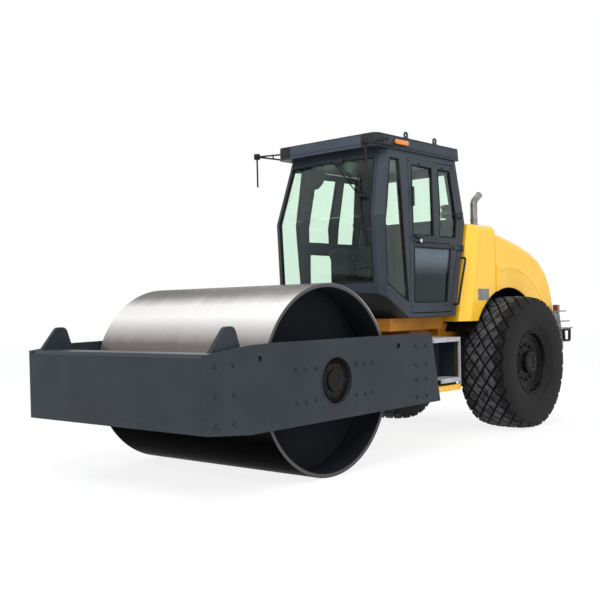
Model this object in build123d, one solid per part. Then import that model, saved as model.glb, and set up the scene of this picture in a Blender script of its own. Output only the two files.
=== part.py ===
from build123d import *
import math
import os

# Single-drum soil compactor, articulated between drum frame and rear chassis.
# Millimetres. It faces -Y, +X is its left, +Z is up. The origin is on the
# ground, half way along and half way across the machine.

# ---- driving dimensions -------------------------------------------------
front_overhang = 1490          # drum axle to the face of the front beam
wheelbase = 3610
rear_overhang = 1500           # rear axle to the tips of the tail plates
pivot_to_axle = 1720           # steering pin to rear axle
drum_radius = 835
drum_width = 2170
shell_wall = 38
frame_gap = 38                 # drum end to the inside of a side plate
plate_wall = 42
tyre_radius = 770
tyre_width = 600
wheel_track = 1752
run_fit = 0.05                 # radial clearance of a shaft in its bore
seat_gap = 0.3                 # between a piece and the curved seat it lies in
body_gap = 8                   # between neighbouring body panels

# ---- stations along the machine ------------------------------------------
overall_length = front_overhang + wheelbase + rear_overhang
front_y = -overall_length / 2
rear_y = overall_length / 2
drum_y = front_y + front_overhang
axle_y = drum_y + wheelbase
pivot_y = axle_y - pivot_to_axle
axle_z = tyre_radius
plate_in = drum_width / 2 + frame_gap
plate_out = plate_in + plate_wall


# ---- helpers --------------------------------------------------------------
def block(x0, x1, y0, y1, z0, z1):
    """Axis-aligned block between two corners."""
    return Pos((x0 + x1) / 2, (y0 + y1) / 2, (z0 + z1) / 2) * Box(x1 - x0, y1 - y0, z1 - z0)


def side_plate(points, x0, x1):
    """Outline of (y, z) points, thick along X."""
    return extrude(Plane.YZ.offset(x0) * Polygon(*points, align=None), amount=x1 - x0, dir=(1, 0, 0))


def front_plate(points, y0, y1):
    """Outline of (x, z) points, thick along Y."""
    return extrude(Plane.XZ.offset(-y0) * Polygon(*points, align=None), amount=y1 - y0, dir=(0, 1, 0))


def floor_plate(points, z0, z1):
    """Outline of (x, y) points, thick along Z."""
    return extrude(Plane.XY.offset(z0) * Polygon(*points, align=None), amount=z1 - z0, dir=(0, 0, 1))


def rod_x(x0, x1, y, z, radius):
    return Pos((x0 + x1) / 2, y, z) * Rot(0, 90, 0) * Cylinder(radius, x1 - x0)


def rod_y(y0, y1, x, z, radius):
    return Pos(x, (y0 + y1) / 2, z) * Rot(90, 0, 0) * Cylinder(radius, y1 - y0)


def rod_z(z0, z1, x, y, radius):
    return Pos(x, y, (z0 + z1) / 2) * Cylinder(radius, z1 - z0)


def other_side(shape):
    return mirror(shape, about=Plane.YZ)


def tube(path_points, bend, radius, sides):
    """Bar of polygon section along straight runs joined by bends of one radius."""
    path = FilletPolyline(*path_points, radius=bend)
    return sweep(Plane(path @ 0, z_dir=path % 0) * RegularPolygon(radius, sides), path)


def bar(start, end, radius):
    """Straight round bar between two points."""
    run = Vector(*end) - Vector(*start)
    return Plane(start, z_dir=run) * Pos(0, 0, run.length / 2) * Cylinder(radius, run.length)


def save(name, *solids):
    shape = solids[0] if len(solids) == 1 else Compound(children=list(solids))
    export_step(shape, f"parts/{name}.step")


# ---- drum frame -----------------------------------------------------------
frame_top = 1190
frame_bottom = 495
nose_top = 1134
nose_bottom = 535
knee_y = front_y + 440
tail_top_y = pivot_y - 430
tail_bottom_y = pivot_y - 290
beam_depth = 250
port_radius = 200
lash_radius = 28
lash_holes = [(front_y + 553, frame_top - 122), (tail_top_y - 552, frame_top - 104)]
rear_beam_depth = 290
rear_beam_drop = 110
rear_beam_y = tail_top_y - 18
ear_wall = 40
ear_front = 75                 # foot of the ear behind the nose
ear_back = 390
ear_height = 200
ear_top = 95                   # flat of the ear before its corners are rounded
ear_top_back = 55


def frame_side():
    """Left side plate: nose dropped at the front, sloping tail, round service port."""
    outline = [
        (front_y, nose_top),
        (knee_y, frame_top - 6),
        (knee_y + 360, frame_top),
        (tail_top_y, frame_top),
        (tail_bottom_y, frame_bottom + 18),
        (knee_y, frame_bottom),
        (front_y, nose_bottom),
    ]
    plate = side_plate(outline, plate_in, plate_out)
    plate -= rod_x(plate_in - 1, plate_out + 1, drum_y, drum_radius, port_radius)
    for y, z in lash_holes:
        plate -= rod_x(plate_in - 1, plate_out + 1, y, z, lash_radius)
    return plate


def front_beam():
    """Closed box girder across the nose, with a bevelled top edge."""
    bevel = 28
    section = [
        (front_y + bevel, nose_top),
        (front_y, nose_top - bevel),
        (front_y, nose_bottom),
        (front_y + beam_depth, nose_bottom + 20),
        (front_y + beam_depth, nose_top),
    ]
    wall = 20
    hollow = [
        (front_y + wall, nose_top - wall - bevel / 2),
        (front_y + wall, nose_bottom + wall + 4),
        (front_y + beam_depth - wall, nose_bottom + wall + 22),
        (front_y + beam_depth - wall, nose_top - wall),
    ]
    girder = side_plate(section, -plate_in, plate_in)
    return girder - side_plate(hollow, -plate_in + wall, plate_in - wall)


def nose_ear():
    """Left lashing ear: round-topped lug with a long sloping front edge."""
    back_y = front_y + ear_back
    seat_y = front_y + beam_depth + 1
    peak_z = nose_top + ear_height
    outline = [
        (front_y + ear_front, nose_top),
        (back_y - ear_top_back - ear_top, peak_z),
        (back_y - ear_top_back, peak_z),
        (back_y, nose_top + 40),
        (back_y, nose_top - 120),
        (seat_y, nose_top - 120),
        (seat_y, nose_top),
    ]
    ear = side_plate(outline, plate_in - ear_wall, plate_in)
    top = ear.edges().filter_by(Axis.X).sort_by(Axis.Z)[-2:]
    return fillet(top, ear_top * 0.6)


def rear_beam():
    """Box girder behind the drum, with the bearing boss of the oscillation axle."""
    y1 = rear_beam_y
    y0 = y1 - rear_beam_depth
    low, high = frame_bottom + 60, frame_top - rear_beam_drop
    girder = block(-plate_in, plate_in, y0, y1, low, high)
    girder -= block(-plate_in + 24, plate_in - 24, y0 + 24, y1 - 24, low + 24, high - 24)
    boss = rod_y(y0 + 24, yoke_web_y - lug_gap, 0, tilt_z, tilt_boss_radius)
    bore = rod_y(y0 - 1, yoke_web_y, 0, tilt_z, tilt_pin_radius + run_fit)
    return girder + boss - bore


# ---- drum and its carriers --------------------------------------------------
head_inset = 300
head_wall = 30
stub_radius = 110
stub_length = 120
carrier_wall = 26


def drum():
    """Rolled shell with recessed heads, each with a bearing hub."""
    half = drum_width / 2
    shell = rod_x(-half, half, drum_y, drum_radius, drum_radius)
    shell -= rod_x(-half - 1, half + 1, drum_y, drum_radius, drum_radius - shell_wall)
    inside = half - head_inset
    for side in (-1, 1):
        x0, x1 = sorted((side * inside, side * (inside - head_wall)))
        shell += rod_x(x0, x1, drum_y, drum_radius, drum_radius - shell_wall + 1)
        h0, h1 = sorted((side * (inside - head_wall), side * (inside + stub_length)))
        shell += rod_x(h0, h1, drum_y, drum_radius, stub_radius + 60)
        b0, b1 = sorted((side * (inside - head_wall - 1), side * (inside + stub_length + 1)))
        shell -= rod_x(b0, b1, drum_y, drum_radius, stub_radius + run_fit)
    return shell


def drum_carrier():
    """Left carrier: cross of plates on the side plate, with the stub the drum turns on."""
    half = drum_width / 2
    inside = half - head_inset
    arm_x0 = plate_in - carrier_wall
    arms = block(arm_x0, plate_in, drum_y - 540, drum_y + 540, drum_radius + 85, drum_radius + 180)
    arms += block(arm_x0, plate_in, drum_y - 540, drum_y + 540, drum_radius - 180, drum_radius - 85)
    flange = rod_x(arm_x0, plate_in, drum_y, drum_radius, 175)
    neck = rod_x(inside + stub_length + 20, arm_x0 + 1, drum_y, drum_radius, 140)
    stub = rod_x(inside - head_wall + 2, inside + stub_length + 21, drum_y, drum_radius, stub_radius)
    return arms + flange + neck + stub


scraper_clear = 12


def scraper(forward):
    """Blade bar across the drum, on two brackets from a beam."""
    sign = -1 if forward else 1
    blade_z = drum_radius + 60
    reach = math.sqrt(drum_radius ** 2 - 60 ** 2) + scraper_clear
    y_tip = drum_y + sign * reach
    y_beam = front_y + beam_depth if forward else rear_beam_y - rear_beam_depth
    y_bar = y_tip + sign * 60
    half = drum_width / 2 - 30
    lo, hi = sorted((y_tip, y_bar))
    blade = block(-half, half, lo, hi, blade_z - 10, blade_z + 10)
    lo, hi = sorted((y_bar, y_bar + sign * 60))
    bar = block(-half, half, lo, hi, blade_z - 30, blade_z + 30)
    part = blade + bar
    lo, hi = sorted((y_bar + sign * 59, y_beam))
    for x in (-700, 700):
        part += block(x - 20, x + 20, lo, hi, blade_z - 50, blade_z + 40)
    return part


# ---- centre pivot ------------------------------------------------------------
tilt_z = 830
tilt_pin_radius = 75
tilt_boss_radius = 135
steer_pin_radius = 45
knuckle_radius = 95
knuckle_half = 120             # half height of the knuckle between the chassis lugs
lug_wall = 50
lug_gap = 6
cylinder_x = 270
rod_pin_y = pivot_y - 300      # pins of the rod eyes, on the yoke
base_pin_y = pivot_y + 480     # pins of the barrels, on the chassis
barrel_length = 450
barrel_radius = 45
rod_radius = 28
eye_radius = 48
eye_half = 25
rod_drift = 37                 # room ahead of a rod eye, which drifts from its pin at full lock
cheek_gap = 4
cheek_wall = 40
cyl_pin_radius = 25
yoke_web_y = rod_pin_y - eye_radius - rod_drift - 45
cheek_in = eye_half + cheek_gap
cheek_out = cheek_in + cheek_wall


def centre_yoke():
    """Knuckle on the steering pin, with the oscillation axle and an arm for each rod eye."""
    low, high = tilt_z - knuckle_half, tilt_z + knuckle_half
    web_y = yoke_web_y
    arm_y = rod_pin_y - eye_radius - rod_drift
    yoke = rod_z(low, high, 0, pivot_y, knuckle_radius)
    yoke += block(-80, 80, web_y, pivot_y, low + 20, high - 20)
    yoke += block(-cylinder_x - 50, cylinder_x + 50, web_y, arm_y, tilt_z - cheek_out, tilt_z + cheek_out)
    yoke += rod_y(rear_beam_y - rear_beam_depth + 2, web_y + 1, 0, tilt_z, tilt_pin_radius)
    for x in (-cylinder_x, cylinder_x):
        for z0, z1 in ((tilt_z + cheek_in, tilt_z + cheek_out), (tilt_z - cheek_out, tilt_z - cheek_in)):
            yoke += block(x - 50, x + 50, arm_y - 1, rod_pin_y, z0, z1) + rod_z(z0, z1, x, rod_pin_y, 50)
        yoke += rod_z(tilt_z + cheek_out - 1, tilt_z + cheek_out + 12, x, rod_pin_y, 38)
    return yoke - rod_z(low - 1, high + 1, 0, pivot_y, steer_pin_radius + run_fit)


def cylinder_barrel(side):
    """Steering cylinder: tube with a base eye, bored for its rod."""
    x = side * cylinder_x
    part = rod_z(tilt_z - eye_half, tilt_z + eye_half, x, base_pin_y, eye_radius)
    part += block(x - 25, x + 25, base_pin_y - 90, base_pin_y, tilt_z - eye_half, tilt_z + eye_half)
    part += rod_y(base_pin_y - barrel_length, base_pin_y - 75, x, tilt_z, barrel_radius)
    part -= rod_z(tilt_z - eye_half - 1, tilt_z + eye_half + 1, x, base_pin_y, cyl_pin_radius + run_fit)
    return part - rod_y(base_pin_y - barrel_length - 1, base_pin_y - 92, x, tilt_z, rod_radius + run_fit)


def cylinder_rod(side):
    x = side * cylinder_x
    eye = rod_z(tilt_z - eye_half, tilt_z + eye_half, x, rod_pin_y, 42)
    return eye + rod_y(rod_pin_y + 20, base_pin_y - 250, x, tilt_z, rod_radius)


# ---- rear chassis --------------------------------------------------------------
rail_x = 430                   # outside of a chassis side plate
rail_wall = 30
rail_top = 1270
rail_bottom = 560
rail_front = pivot_y + 250
tail_y = rear_y - 300
deck_half = 560                # deck that carries the cab mounts
deck_front = pivot_y - 280
deck_rear = pivot_y + 720
deck_depth = 75
deck_wall = 16
cowl_low = rail_top


cross_wall = 30                # cross plates between the chassis side plates
window_z = 60                  # half height of the cylinders' windows in the front cross plate
window_in = 130                # column between the two windows
anchor_y = base_pin_y + 110


def chassis_frame():
    """Two deep side plates with cross plates, the cab deck and the cylinder anchors."""
    outline = [
        (rail_front, rail_top),
        (rail_front, rail_bottom + 30),
        (rail_front + 300, rail_bottom),
        (axle_y - 320, rail_bottom),
        (axle_y - 240, axle_z - 30),
        (axle_y + 240, axle_z - 30),
        (axle_y + 320, rail_bottom + 120),
        (tail_y, rail_bottom + 160),
        (tail_y, rail_top - 80),
        (axle_y - 400, rail_top - 80),
        (axle_y - 900, rail_top),
    ]
    rail = side_plate(outline, rail_x - rail_wall, rail_x)
    frame = rail + other_side(rail)
    inner = rail_x - rail_wall
    frame += block(-inner, inner, tail_y - cross_wall, tail_y, rail_bottom + 200, rail_top - 80)
    frame += block(-inner, inner, anchor_y, anchor_y + cross_wall, rail_bottom + 40, rail_top - 100)
    deck = block(-deck_half, deck_half, deck_front, deck_rear, rail_top - deck_depth, rail_top)
    deck -= block(
        -deck_half + deck_wall, deck_half - deck_wall, deck_front + deck_wall, deck_rear + 1,
        rail_top - deck_depth - 1, rail_top - deck_wall)
    rim = block(-deck_half, deck_half, deck_front, deck_rear, rail_top - 1, cab_floor - body_gap)
    rim -= block(
        -deck_half + deck_wall, deck_half - deck_wall, deck_front + deck_wall, deck_rear - deck_wall,
        rail_top - 2, cab_floor)
    frame += deck + rim
    gusset_y = deck_rear - 90
    for x in (-deck_half, deck_half):
        x0, x1 = sorted((x, math.copysign(rail_x, x)))
        low, high = rail_top - 2 * deck_depth, rail_top - deck_depth + 1
        frame += block(x0, x1, gusset_y, gusset_y + deck_wall, low, high)
    for x in (-cylinder_x, cylinder_x):
        for z0, z1 in ((tilt_z + cheek_in, tilt_z + cheek_out), (tilt_z - cheek_out, tilt_z - cheek_in)):
            frame += block(x - 45, x + 45, base_pin_y, anchor_y + 1, z0, z1)
            frame += rod_z(z0, z1, x, base_pin_y, 45)
        frame += rod_z(tilt_z - cheek_in - 1, tilt_z + cheek_in + 1, x, base_pin_y, cyl_pin_radius)
    return frame


def pivot_bracket():
    """Front cross plate, open where the cylinders pass, with the two steering lugs."""
    inner = rail_x - rail_wall
    y0, y1 = rail_front, rail_front + cross_wall
    part = block(-inner, inner, y0, y1, tilt_z + window_z, rail_top - deck_depth)
    part += block(-inner, inner, y0, y1, rail_bottom + 30, tilt_z - window_z)
    part += block(-window_in, window_in, y0, y1, tilt_z - window_z - 1, tilt_z + window_z + 1)
    low, high = tilt_z - knuckle_half - lug_gap, tilt_z + knuckle_half + lug_gap
    for z0, z1 in ((low - lug_wall, low), (high, high + lug_wall)):
        part += floor_plate([(-140, pivot_y), (140, pivot_y), (260, y0 + 1), (-260, y0 + 1)], z0, z1)
        part += rod_z(z0, z1, 0, pivot_y, 140)
    return part - rod_z(rail_bottom, rail_top, 0, pivot_y, steer_pin_radius)


def cab_mounts():
    """Rubber mounts between deck and cab floor."""
    places = [(x, y) for x in (-470, 470) for y in (pivot_y - 90, pivot_y + 640)]
    return [rod_z(rail_top, cab_floor, x, y, 50) for x, y in places]


def steer_pin():
    """Steering pin with its cap on the upper lug."""
    low = tilt_z - knuckle_half - lug_gap - lug_wall
    high = tilt_z + knuckle_half + lug_gap + lug_wall
    return rod_z(low, high, 0, pivot_y, steer_pin_radius) + rod_z(high, high + 20, 0, pivot_y, 70)


hub_radius = 150
rim_radius = 345
rim_width = 500
rim_face_x = wheel_track / 2 + 180     # disc of the rim, set outwards


def rear_axle():
    """Axle beam with the final drives and wheel stubs, notched for the chassis side plates."""
    beam = rod_x(-wheel_track / 2 + 200, wheel_track / 2 - 200, axle_y, axle_z, 105)
    beam += block(-190, 190, axle_y - 190, axle_y + 190, axle_z - 170, axle_z + 150)
    for side in (-1, 1):
        x0, x1 = sorted((side * (wheel_track / 2 - 240), side * (rim_face_x - 120)))
        beam += rod_x(x0, x1, axle_y, axle_z, 160)
        s0, s1 = sorted((side * (rim_face_x - 121), side * (rim_face_x + 30)))
        beam += rod_x(s0, s1, axle_y, axle_z, 80)
    for x in (-310, 310):
        beam += block(x - 70, x + 70, axle_y - 120, axle_y + 120, axle_z, axle_z + 140)
    for side in (-1, 1):
        x0, x1 = sorted((side * (rail_x - rail_wall), side * rail_x))
        beam -= block(x0, x1, axle_y - 400, axle_y + 400, axle_z - 30, axle_z + 400)
    return beam


def engine_block():
    """Engine and cooler as one plain block, on four feet between the side plates."""
    block_low = axle_z + 180
    engine = block(-300, 300, axle_y - 240, axle_y + 760, block_low, block_low + 820)
    inner = rail_x - rail_wall
    for y in (axle_y - 140, axle_y + 560):
        engine += block(-inner, inner, y, y + 100, block_low + 20, block_low + 90)
    return engine


# ---- wheels ------------------------------------------------------------------------
bead_radius = rim_radius + 14
lugs_round = 26
lug_columns = 7                # full columns of blocks, between two rows of shoulder blocks
lug_half = 70                  # half the width of a block's cell
lug_depth = 26
lug_groove = 11                # groove's half width at the crown
crown_drop = 26                # how much lower the shoulder is than the crown
# side wall, (distance from the middle, radius)
side_wall = [(292, 690), (300, 600), (297, 500), (272, 410)]
bead_half = 240


def wheel_point(x, radius, angle):
    return Vector(x, radius * math.cos(angle), radius * math.sin(angle))


def crown_radius(x):
    shoulder = lug_half * (lug_columns + 1) / 2
    return tyre_radius - crown_drop * abs(x / shoulder) ** 3


def block_faces(x, angle, half_pitch, full):
    """One diamond block and the walls of its half of each groove. Shoulder blocks have three corners."""
    sides = ((1, 0), (0, 1), (-1, 0), (0, -1)) if full else ((-math.copysign(1, x), 0), (0, 1), (0, -1))
    top, foot = [], []
    for across, along in sides:
        far_x, far_angle = x + across * lug_half, angle + along * half_pitch
        foot.append(wheel_point(far_x, crown_radius(far_x) - lug_depth, far_angle))
        near_x = x + across * (lug_half - lug_groove * 1.4)
        near_angle = angle + along * (half_pitch - lug_groove * 1.6 / tyre_radius)
        top.append(wheel_point(near_x, crown_radius(near_x), near_angle))
    if not full:
        (a, b, c), (fa, fb, fc) = top, foot
        return [(a, b, c), (fa, fb, b), (fa, b, a), (fc, fa, a), (fc, a, c)], top
    faces = [(top[0], top[1], top[2]), (top[0], top[2], top[3])]
    for k in range(4):
        n = (k + 1) % 4
        faces += [(foot[k], foot[n], top[n]), (foot[k], top[n], top[k])]
    return faces, top


def shoulder_faces(x, angle, half_pitch, corners):
    """Wall between one shoulder block and the first ring of the side wall."""
    wall_x, wall_radius = math.copysign(side_wall[0][0], x), side_wall[0][1]
    _, ahead, behind = corners
    low = crown_radius(x) - lug_depth
    foot_b = wheel_point(x, low, angle - half_pitch)
    foot_a = wheel_point(x, low, angle + half_pitch)
    ring_b = wheel_point(wall_x, wall_radius, angle - half_pitch)
    ring_m = wheel_point(wall_x, wall_radius, angle)
    ring_a = wheel_point(wall_x, wall_radius, angle + half_pitch)
    return [
        (foot_b, behind, ring_b), (behind, ring_m, ring_b), (behind, ahead, ring_m),
        (ahead, ring_a, ring_m), (ahead, foot_a, ring_a),
    ]


def wall_faces(sign, angle, half_pitch):
    """One pitch of a side wall, from the shoulder ring in to the bead."""
    flat = math.cos(half_pitch)
    rings = [(sign * x, r) for x, r in side_wall] + [(sign * bead_half, bead_radius / flat)]
    low, high = angle - half_pitch, angle + half_pitch
    (x0, r0), (x1, r1) = rings[:2]
    middle = wheel_point(x0, r0, angle)
    inner = wheel_point(x1, r1, low), wheel_point(x1, r1, high)
    faces = [(wheel_point(x0, r0, low), middle, inner[0]), (middle, inner[1], inner[0]),
             (middle, wheel_point(x0, r0, high), inner[1])]
    for (x0, r0), (x1, r1) in zip(rings[1:], rings[2:]):
        a, b = wheel_point(x0, r0, low), wheel_point(x0, r0, high)
        c, d = wheel_point(x1, r1, high), wheel_point(x1, r1, low)
        faces += [(a, b, c), (a, c, d)]
    return faces


def tyre(side):
    """Tyre with diamond blocks in a diagonal grid, out to their tips."""
    pitch = 2 * math.pi / lugs_round
    half_pitch = pitch / 2
    edge = (lug_columns + 1) // 2
    faces = []
    for column in range(-edge, edge + 1):
        x = column * lug_half
        shift = half_pitch * (column % 2)
        for k in range(lugs_round):
            angle = k * pitch + shift
            full = abs(column) < edge
            made, corners = block_faces(x, angle, half_pitch, full)
            faces += made
            if not full:
                faces += shoulder_faces(x, angle, half_pitch, corners)
                faces += wall_faces(math.copysign(1, x), angle, half_pitch)
            if column == edge:
                r = bead_radius / math.cos(half_pitch)
                low, high = angle - half_pitch, angle + half_pitch
                a, b = wheel_point(-bead_half, r, low), wheel_point(-bead_half, r, high)
                c, d = wheel_point(bead_half, r, high), wheel_point(bead_half, r, low)
                faces += [(a, b, c), (a, c, d)]
    shell = Shell([Face(Wire.make_polygon(corners)) for corners in faces])
    return Pos(side * wheel_track / 2, axle_y, axle_z) * Solid(shell)


def rim(side):
    """Dished rim with a thick disc and hub."""
    centre = wheel_track / 2
    x0, x1 = centre - rim_width / 2, centre + rim_width / 2
    outer = bead_radius - seat_gap
    body = rod_x(x0, x1, axle_y, axle_z, outer)
    body -= rod_x(rim_face_x, x1 + 1, axle_y, axle_z, outer - 24)
    body -= rod_x(x0 - 1, rim_face_x - 24, axle_y, axle_z, outer - 24)
    body += rod_x(rim_face_x - 90, rim_face_x + 60, axle_y, axle_z, 130)
    body -= rod_x(rim_face_x - 91, rim_face_x + 31, axle_y, axle_z, 80 + run_fit)
    return body if side > 0 else other_side(body)


# ---- cab -------------------------------------------------------------------------------
cab_half = 730
cab_floor = 1335
cab_wall = 55
cab_waist = 2370               # the walls lean inwards above it
cab_top_half = 653
roof_lip = 3062
roof_depth = 136
roof_top = roof_lip + roof_depth
pillar_cut = 66                # width of the bevelled front corners
tail_cut = 40                  # and of the rear ones
glass_out = 14                 # depths of the panes under the cab's face
glass_in = 22
ceiling = roof_lip - 60
side_in = 550                  # a side cut reaches from here out
side_out = 900

# columns: height, half width, rear face, A-pillar corner, windscreen middle
cab_sections = [
    (cab_floor, cab_half, pivot_y + 754, pivot_y - 525, pivot_y - 640),
    (cab_waist, cab_half, pivot_y + 978, pivot_y - 570, pivot_y - 720),
    (roof_lip, cab_top_half, pivot_y + 926, pivot_y - 375, pivot_y - 490),
]


def cab_outline(z, half, rear, corner, front, inset):
    """Plan outline of the cab: flat rear and sides, cut pillar corners, bowed front."""
    h = half - inset
    r = rear - inset
    c = corner + inset / 2
    nose = (h - pillar_cut, c - pillar_cut)
    back = h - tail_cut, r - tail_cut
    with BuildLine(Plane.XY.offset(z)) as line:
        Polyline(
            nose, (h, c), (h, back[1]), (back[0], r),
            (-back[0], r), (-h, back[1]), (-h, c), (-nose[0], nose[1]))
        ThreePointArc((-nose[0], nose[1]), (0, front + inset), nose)
    return make_face(line.edges())


def cab_envelope(inset):
    """The cab's form, set in from its outer face by a distance."""
    return loft([cab_outline(*row, inset) for row in cab_sections], ruled=True)


sill_front_y = pivot_y - 665
sill_front_z = 1619
sill_knee_y = pivot_y - 173

# windows and door of the left side, (y, z) outlines
door_gap = 9
door_wall = 32
door_top = ceiling - door_gap - 1
door_sill = cab_floor + 50
pane_top = roof_lip - 132
glass_top = roof_lip - 96
rail_top_z = cab_waist - 175   # door's middle rail
rail_low_z = cab_waist - 303
pane_low = cab_floor + 157
quarter_window = [
    (pivot_y - 532, sill_front_z + 71), (pivot_y - 552, cab_waist - 60), (pivot_y - 363, glass_top),
    (pivot_y - 206, glass_top), (pivot_y - 250, cab_waist), (pivot_y - 175, pane_low + 8),
]
door_front_pane = [
    (pivot_y - 70, rail_top_z), (pivot_y - 70, cab_waist), (pivot_y + 11, pane_top),
    (pivot_y + 385, pane_top), (pivot_y + 308, cab_waist), (pivot_y + 310, rail_top_z),
]
door_rear_pane = [
    (pivot_y + 430, rail_top_z), (pivot_y + 506, pane_top), (pivot_y + 746, pane_top),
    (pivot_y + 771, cab_waist + 31), (pivot_y + 740, rail_top_z),
]
door_low_pane = [
    (pivot_y - 70, pane_low), (pivot_y - 50, rail_low_z),
    (pivot_y + 645, rail_low_z), (pivot_y + 550, pane_low),
]
door_outline = [
    (pivot_y - 130, door_sill), (pivot_y - 130, cab_waist), (pivot_y - 39, door_top),
    (pivot_y + 816, door_top), (pivot_y + 830, cab_waist + 31), (pivot_y + 800, rail_top_z),
    (pivot_y + 630, door_sill),
]


def grown(points, by):
    """Outline moved outwards by a distance, or inwards below zero."""
    face = Polygon(*points, align=None)
    return offset(face, amount=by, kind=Kind.INTERSECTION) if by else face


def side_cut(points, by, side):
    """Prism through one side wall of the cab, over an outline grown by a distance."""
    cut = extrude(Plane.YZ.offset(side_in) * grown(points, by), amount=side_out - side_in, dir=(1, 0, 0))
    return cut if side > 0 else other_side(cut)


def cab_room():
    """Inside of the cab, up to its ceiling and down to the sloping front sill."""
    low, slope = cab_floor + cab_wall, sill_front_z + cab_wall
    sill = [
        (sill_front_y - 400, slope), (sill_front_y + 25, slope), (sill_knee_y + 15, low),
        (sill_knee_y + 15, cab_floor - 60), (sill_front_y - 400, cab_floor - 60),
    ]
    keep = block(-side_out, side_out, pivot_y - 900, pivot_y + 1200, low, ceiling)
    return (cab_envelope(cab_wall) & keep) - side_plate(sill, -side_out, side_out)


def cab_shell():
    """Hollow cab with its sloping front sill, before it is split into panels."""
    under = [
        (sill_front_y - 300, sill_front_z), (sill_front_y, sill_front_z), (sill_knee_y, cab_floor),
        (sill_knee_y, cab_floor - 50), (sill_front_y - 300, cab_floor - 50),
    ]
    return cab_envelope(0) - cab_room() - side_plate(under, -side_out, side_out)


# front and rear windows, (x, z) outlines that lean in with the sides
windscreen_low = 1705
windscreen_half = 615
rear_window_low = cab_waist + 50
rear_window_half = 560
lean = (cab_half - cab_top_half) / (roof_lip - cab_waist)


def end_window(half, low, high):
    """Symmetric outline whose sides follow the cab's above the waist."""
    waist = max(low, cab_waist)
    top = half - lean * (high - waist)
    right = [(half, low), (half, waist), (top, high)] if waist > low else [(half, low), (top, high)]
    return right + [(-x, z) for x, z in reversed(right)]


def windscreen_cut(by):
    face = Plane.XZ * grown(end_window(windscreen_half, windscreen_low, glass_top), by)
    return Pos(0, pivot_y - 900, 0) * extrude(face, amount=650, dir=(0, 1, 0))


def rear_window_cut(by):
    face = Plane.XZ * grown(end_window(rear_window_half, rear_window_low, pane_top), by)
    return Pos(0, pivot_y + 600, 0) * extrude(face, amount=600, dir=(0, 1, 0))


hinge_x = cab_half + 24
hinge_y = pivot_y + 850
hinges = [(2080, 160, 110), (2440, 70, 30)]     # height, ends of the strap's foot ahead of the pin
hinge_pin_radius = 8
strap_half = 20
strap_wall = 8
knuckle_out = 14
knuckle_wall = 12
knuckle_end = 34
hinge_root = cab_half - 24


def door_straps():
    """Left door's hinge straps, each with the knuckle at its end."""
    straps = []
    for z, far, near in hinges:
        low, high = z - strap_half, z + strap_half
        face = hinge_x - knuckle_out
        strap = block(face, face + strap_wall, hinge_y - far, hinge_y, low, high)
        strap += block(hinge_root, face + 1, hinge_y - far, hinge_y - near, low, high)
        strap += rod_z(low, high, hinge_x, hinge_y, knuckle_out)
        straps.append(strap - rod_z(low - 1, high + 1, hinge_x, hinge_y, hinge_pin_radius + run_fit))
    return straps[0] + straps[1]


def pillar_hinges():
    """Left pillar's hinge pins and their brackets."""
    pins = []
    for z, _, _ in hinges:
        pin = rod_z(z - knuckle_end, z + knuckle_end, hinge_x, hinge_y, hinge_pin_radius)
        for z0 in (z - knuckle_end, z + knuckle_end - knuckle_wall):
            pin += rod_z(z0, z0 + knuckle_wall, hinge_x, hinge_y, knuckle_out)
            pin += block(hinge_root, hinge_x, hinge_y - 10, hinge_y + 10, z0, z0 + knuckle_wall)
        pins.append(pin)
    return pins[0] + pins[1]


waist_split = 1640


def cab_parts():
    """Every panel and pane of the cab, by name."""
    shell = cab_shell()
    skin = cab_envelope(0) - cab_envelope(door_wall)
    panes = cab_envelope(glass_out) - cab_envelope(glass_in)
    parts = {
        "windscreen": panes & windscreen_cut(-seat_gap),
        "rear_window": panes & rear_window_cut(-seat_gap),
    }
    frame = shell - windscreen_cut(0) - rear_window_cut(0)
    quarters = []
    for side, name in ((1, "left"), (-1, "right")):
        frame -= side_cut(door_outline, door_gap, side)
        frame -= side_cut(quarter_window, 0, side)
        quarters.append(panes & side_cut(quarter_window, -seat_gap, side))
        door = skin & side_cut(door_outline, 0, side)
        glass = []
        for outline in (door_front_pane, door_rear_pane, door_low_pane):
            door -= side_cut(outline, 0, side)
            glass.append(panes & side_cut(outline, -seat_gap, side))
        straps, pins = door_straps(), pillar_hinges()
        parts[name + "_door"] = door + (straps if side > 0 else other_side(straps))
        parts[name + "_door_glass"] = Compound(children=glass)
        frame += pins if side > 0 else other_side(pins)
    parts["quarter_windows"] = Compound(children=quarters)
    split = block(-side_out, side_out, pivot_y - 1000, pivot_y + 1300, cab_floor - 10, waist_split)
    parts["cab_tub"] = frame & split
    parts["cab_frame"] = frame - split
    return parts


# ---- roof ------------------------------------------------------------------------------
roof_half = 672
roof_front_y = pivot_y - 595
roof_rear_y = pivot_y + 934
roof_corner = 45
roof_flare = 6
lamp_y = pivot_y - 180
lamp_z = roof_lip + 73
lamp_half = 93                 # half the distance between its round ends
eye_x = 635
eye_stations = [pivot_y - 30, pivot_y + 510]
eye_rise = 40


def roof_outline(z, inset):
    """Plan outline with small cut corners, at a height."""
    h = roof_half - inset
    f, r = roof_front_y + inset, roof_rear_y - inset
    side = [(h - roof_corner, f), (h, f + roof_corner), (h, r)]
    return Plane.XY.offset(z) * Polygon(*side, *[(-x, y) for x, y in reversed(side)], align=None)


def roof():
    """Flat roof with a deep fascia, slightly flared at the lip."""
    return loft([roof_outline(roof_lip, 0), roof_outline(roof_top, roof_flare)], ruled=True)


def lifting_eyes():
    eyes = []
    z = roof_top + eye_rise
    for x in (-eye_x, eye_x):
        for y in eye_stations:
            plate = block(x - 8, x + 8, y - 36, y + 36, roof_top, z) + rod_x(x - 8, x + 8, y, z, 35)
            eyes.append(plate - rod_x(x - 9, x + 9, y, z, 18))
    return eyes


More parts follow.
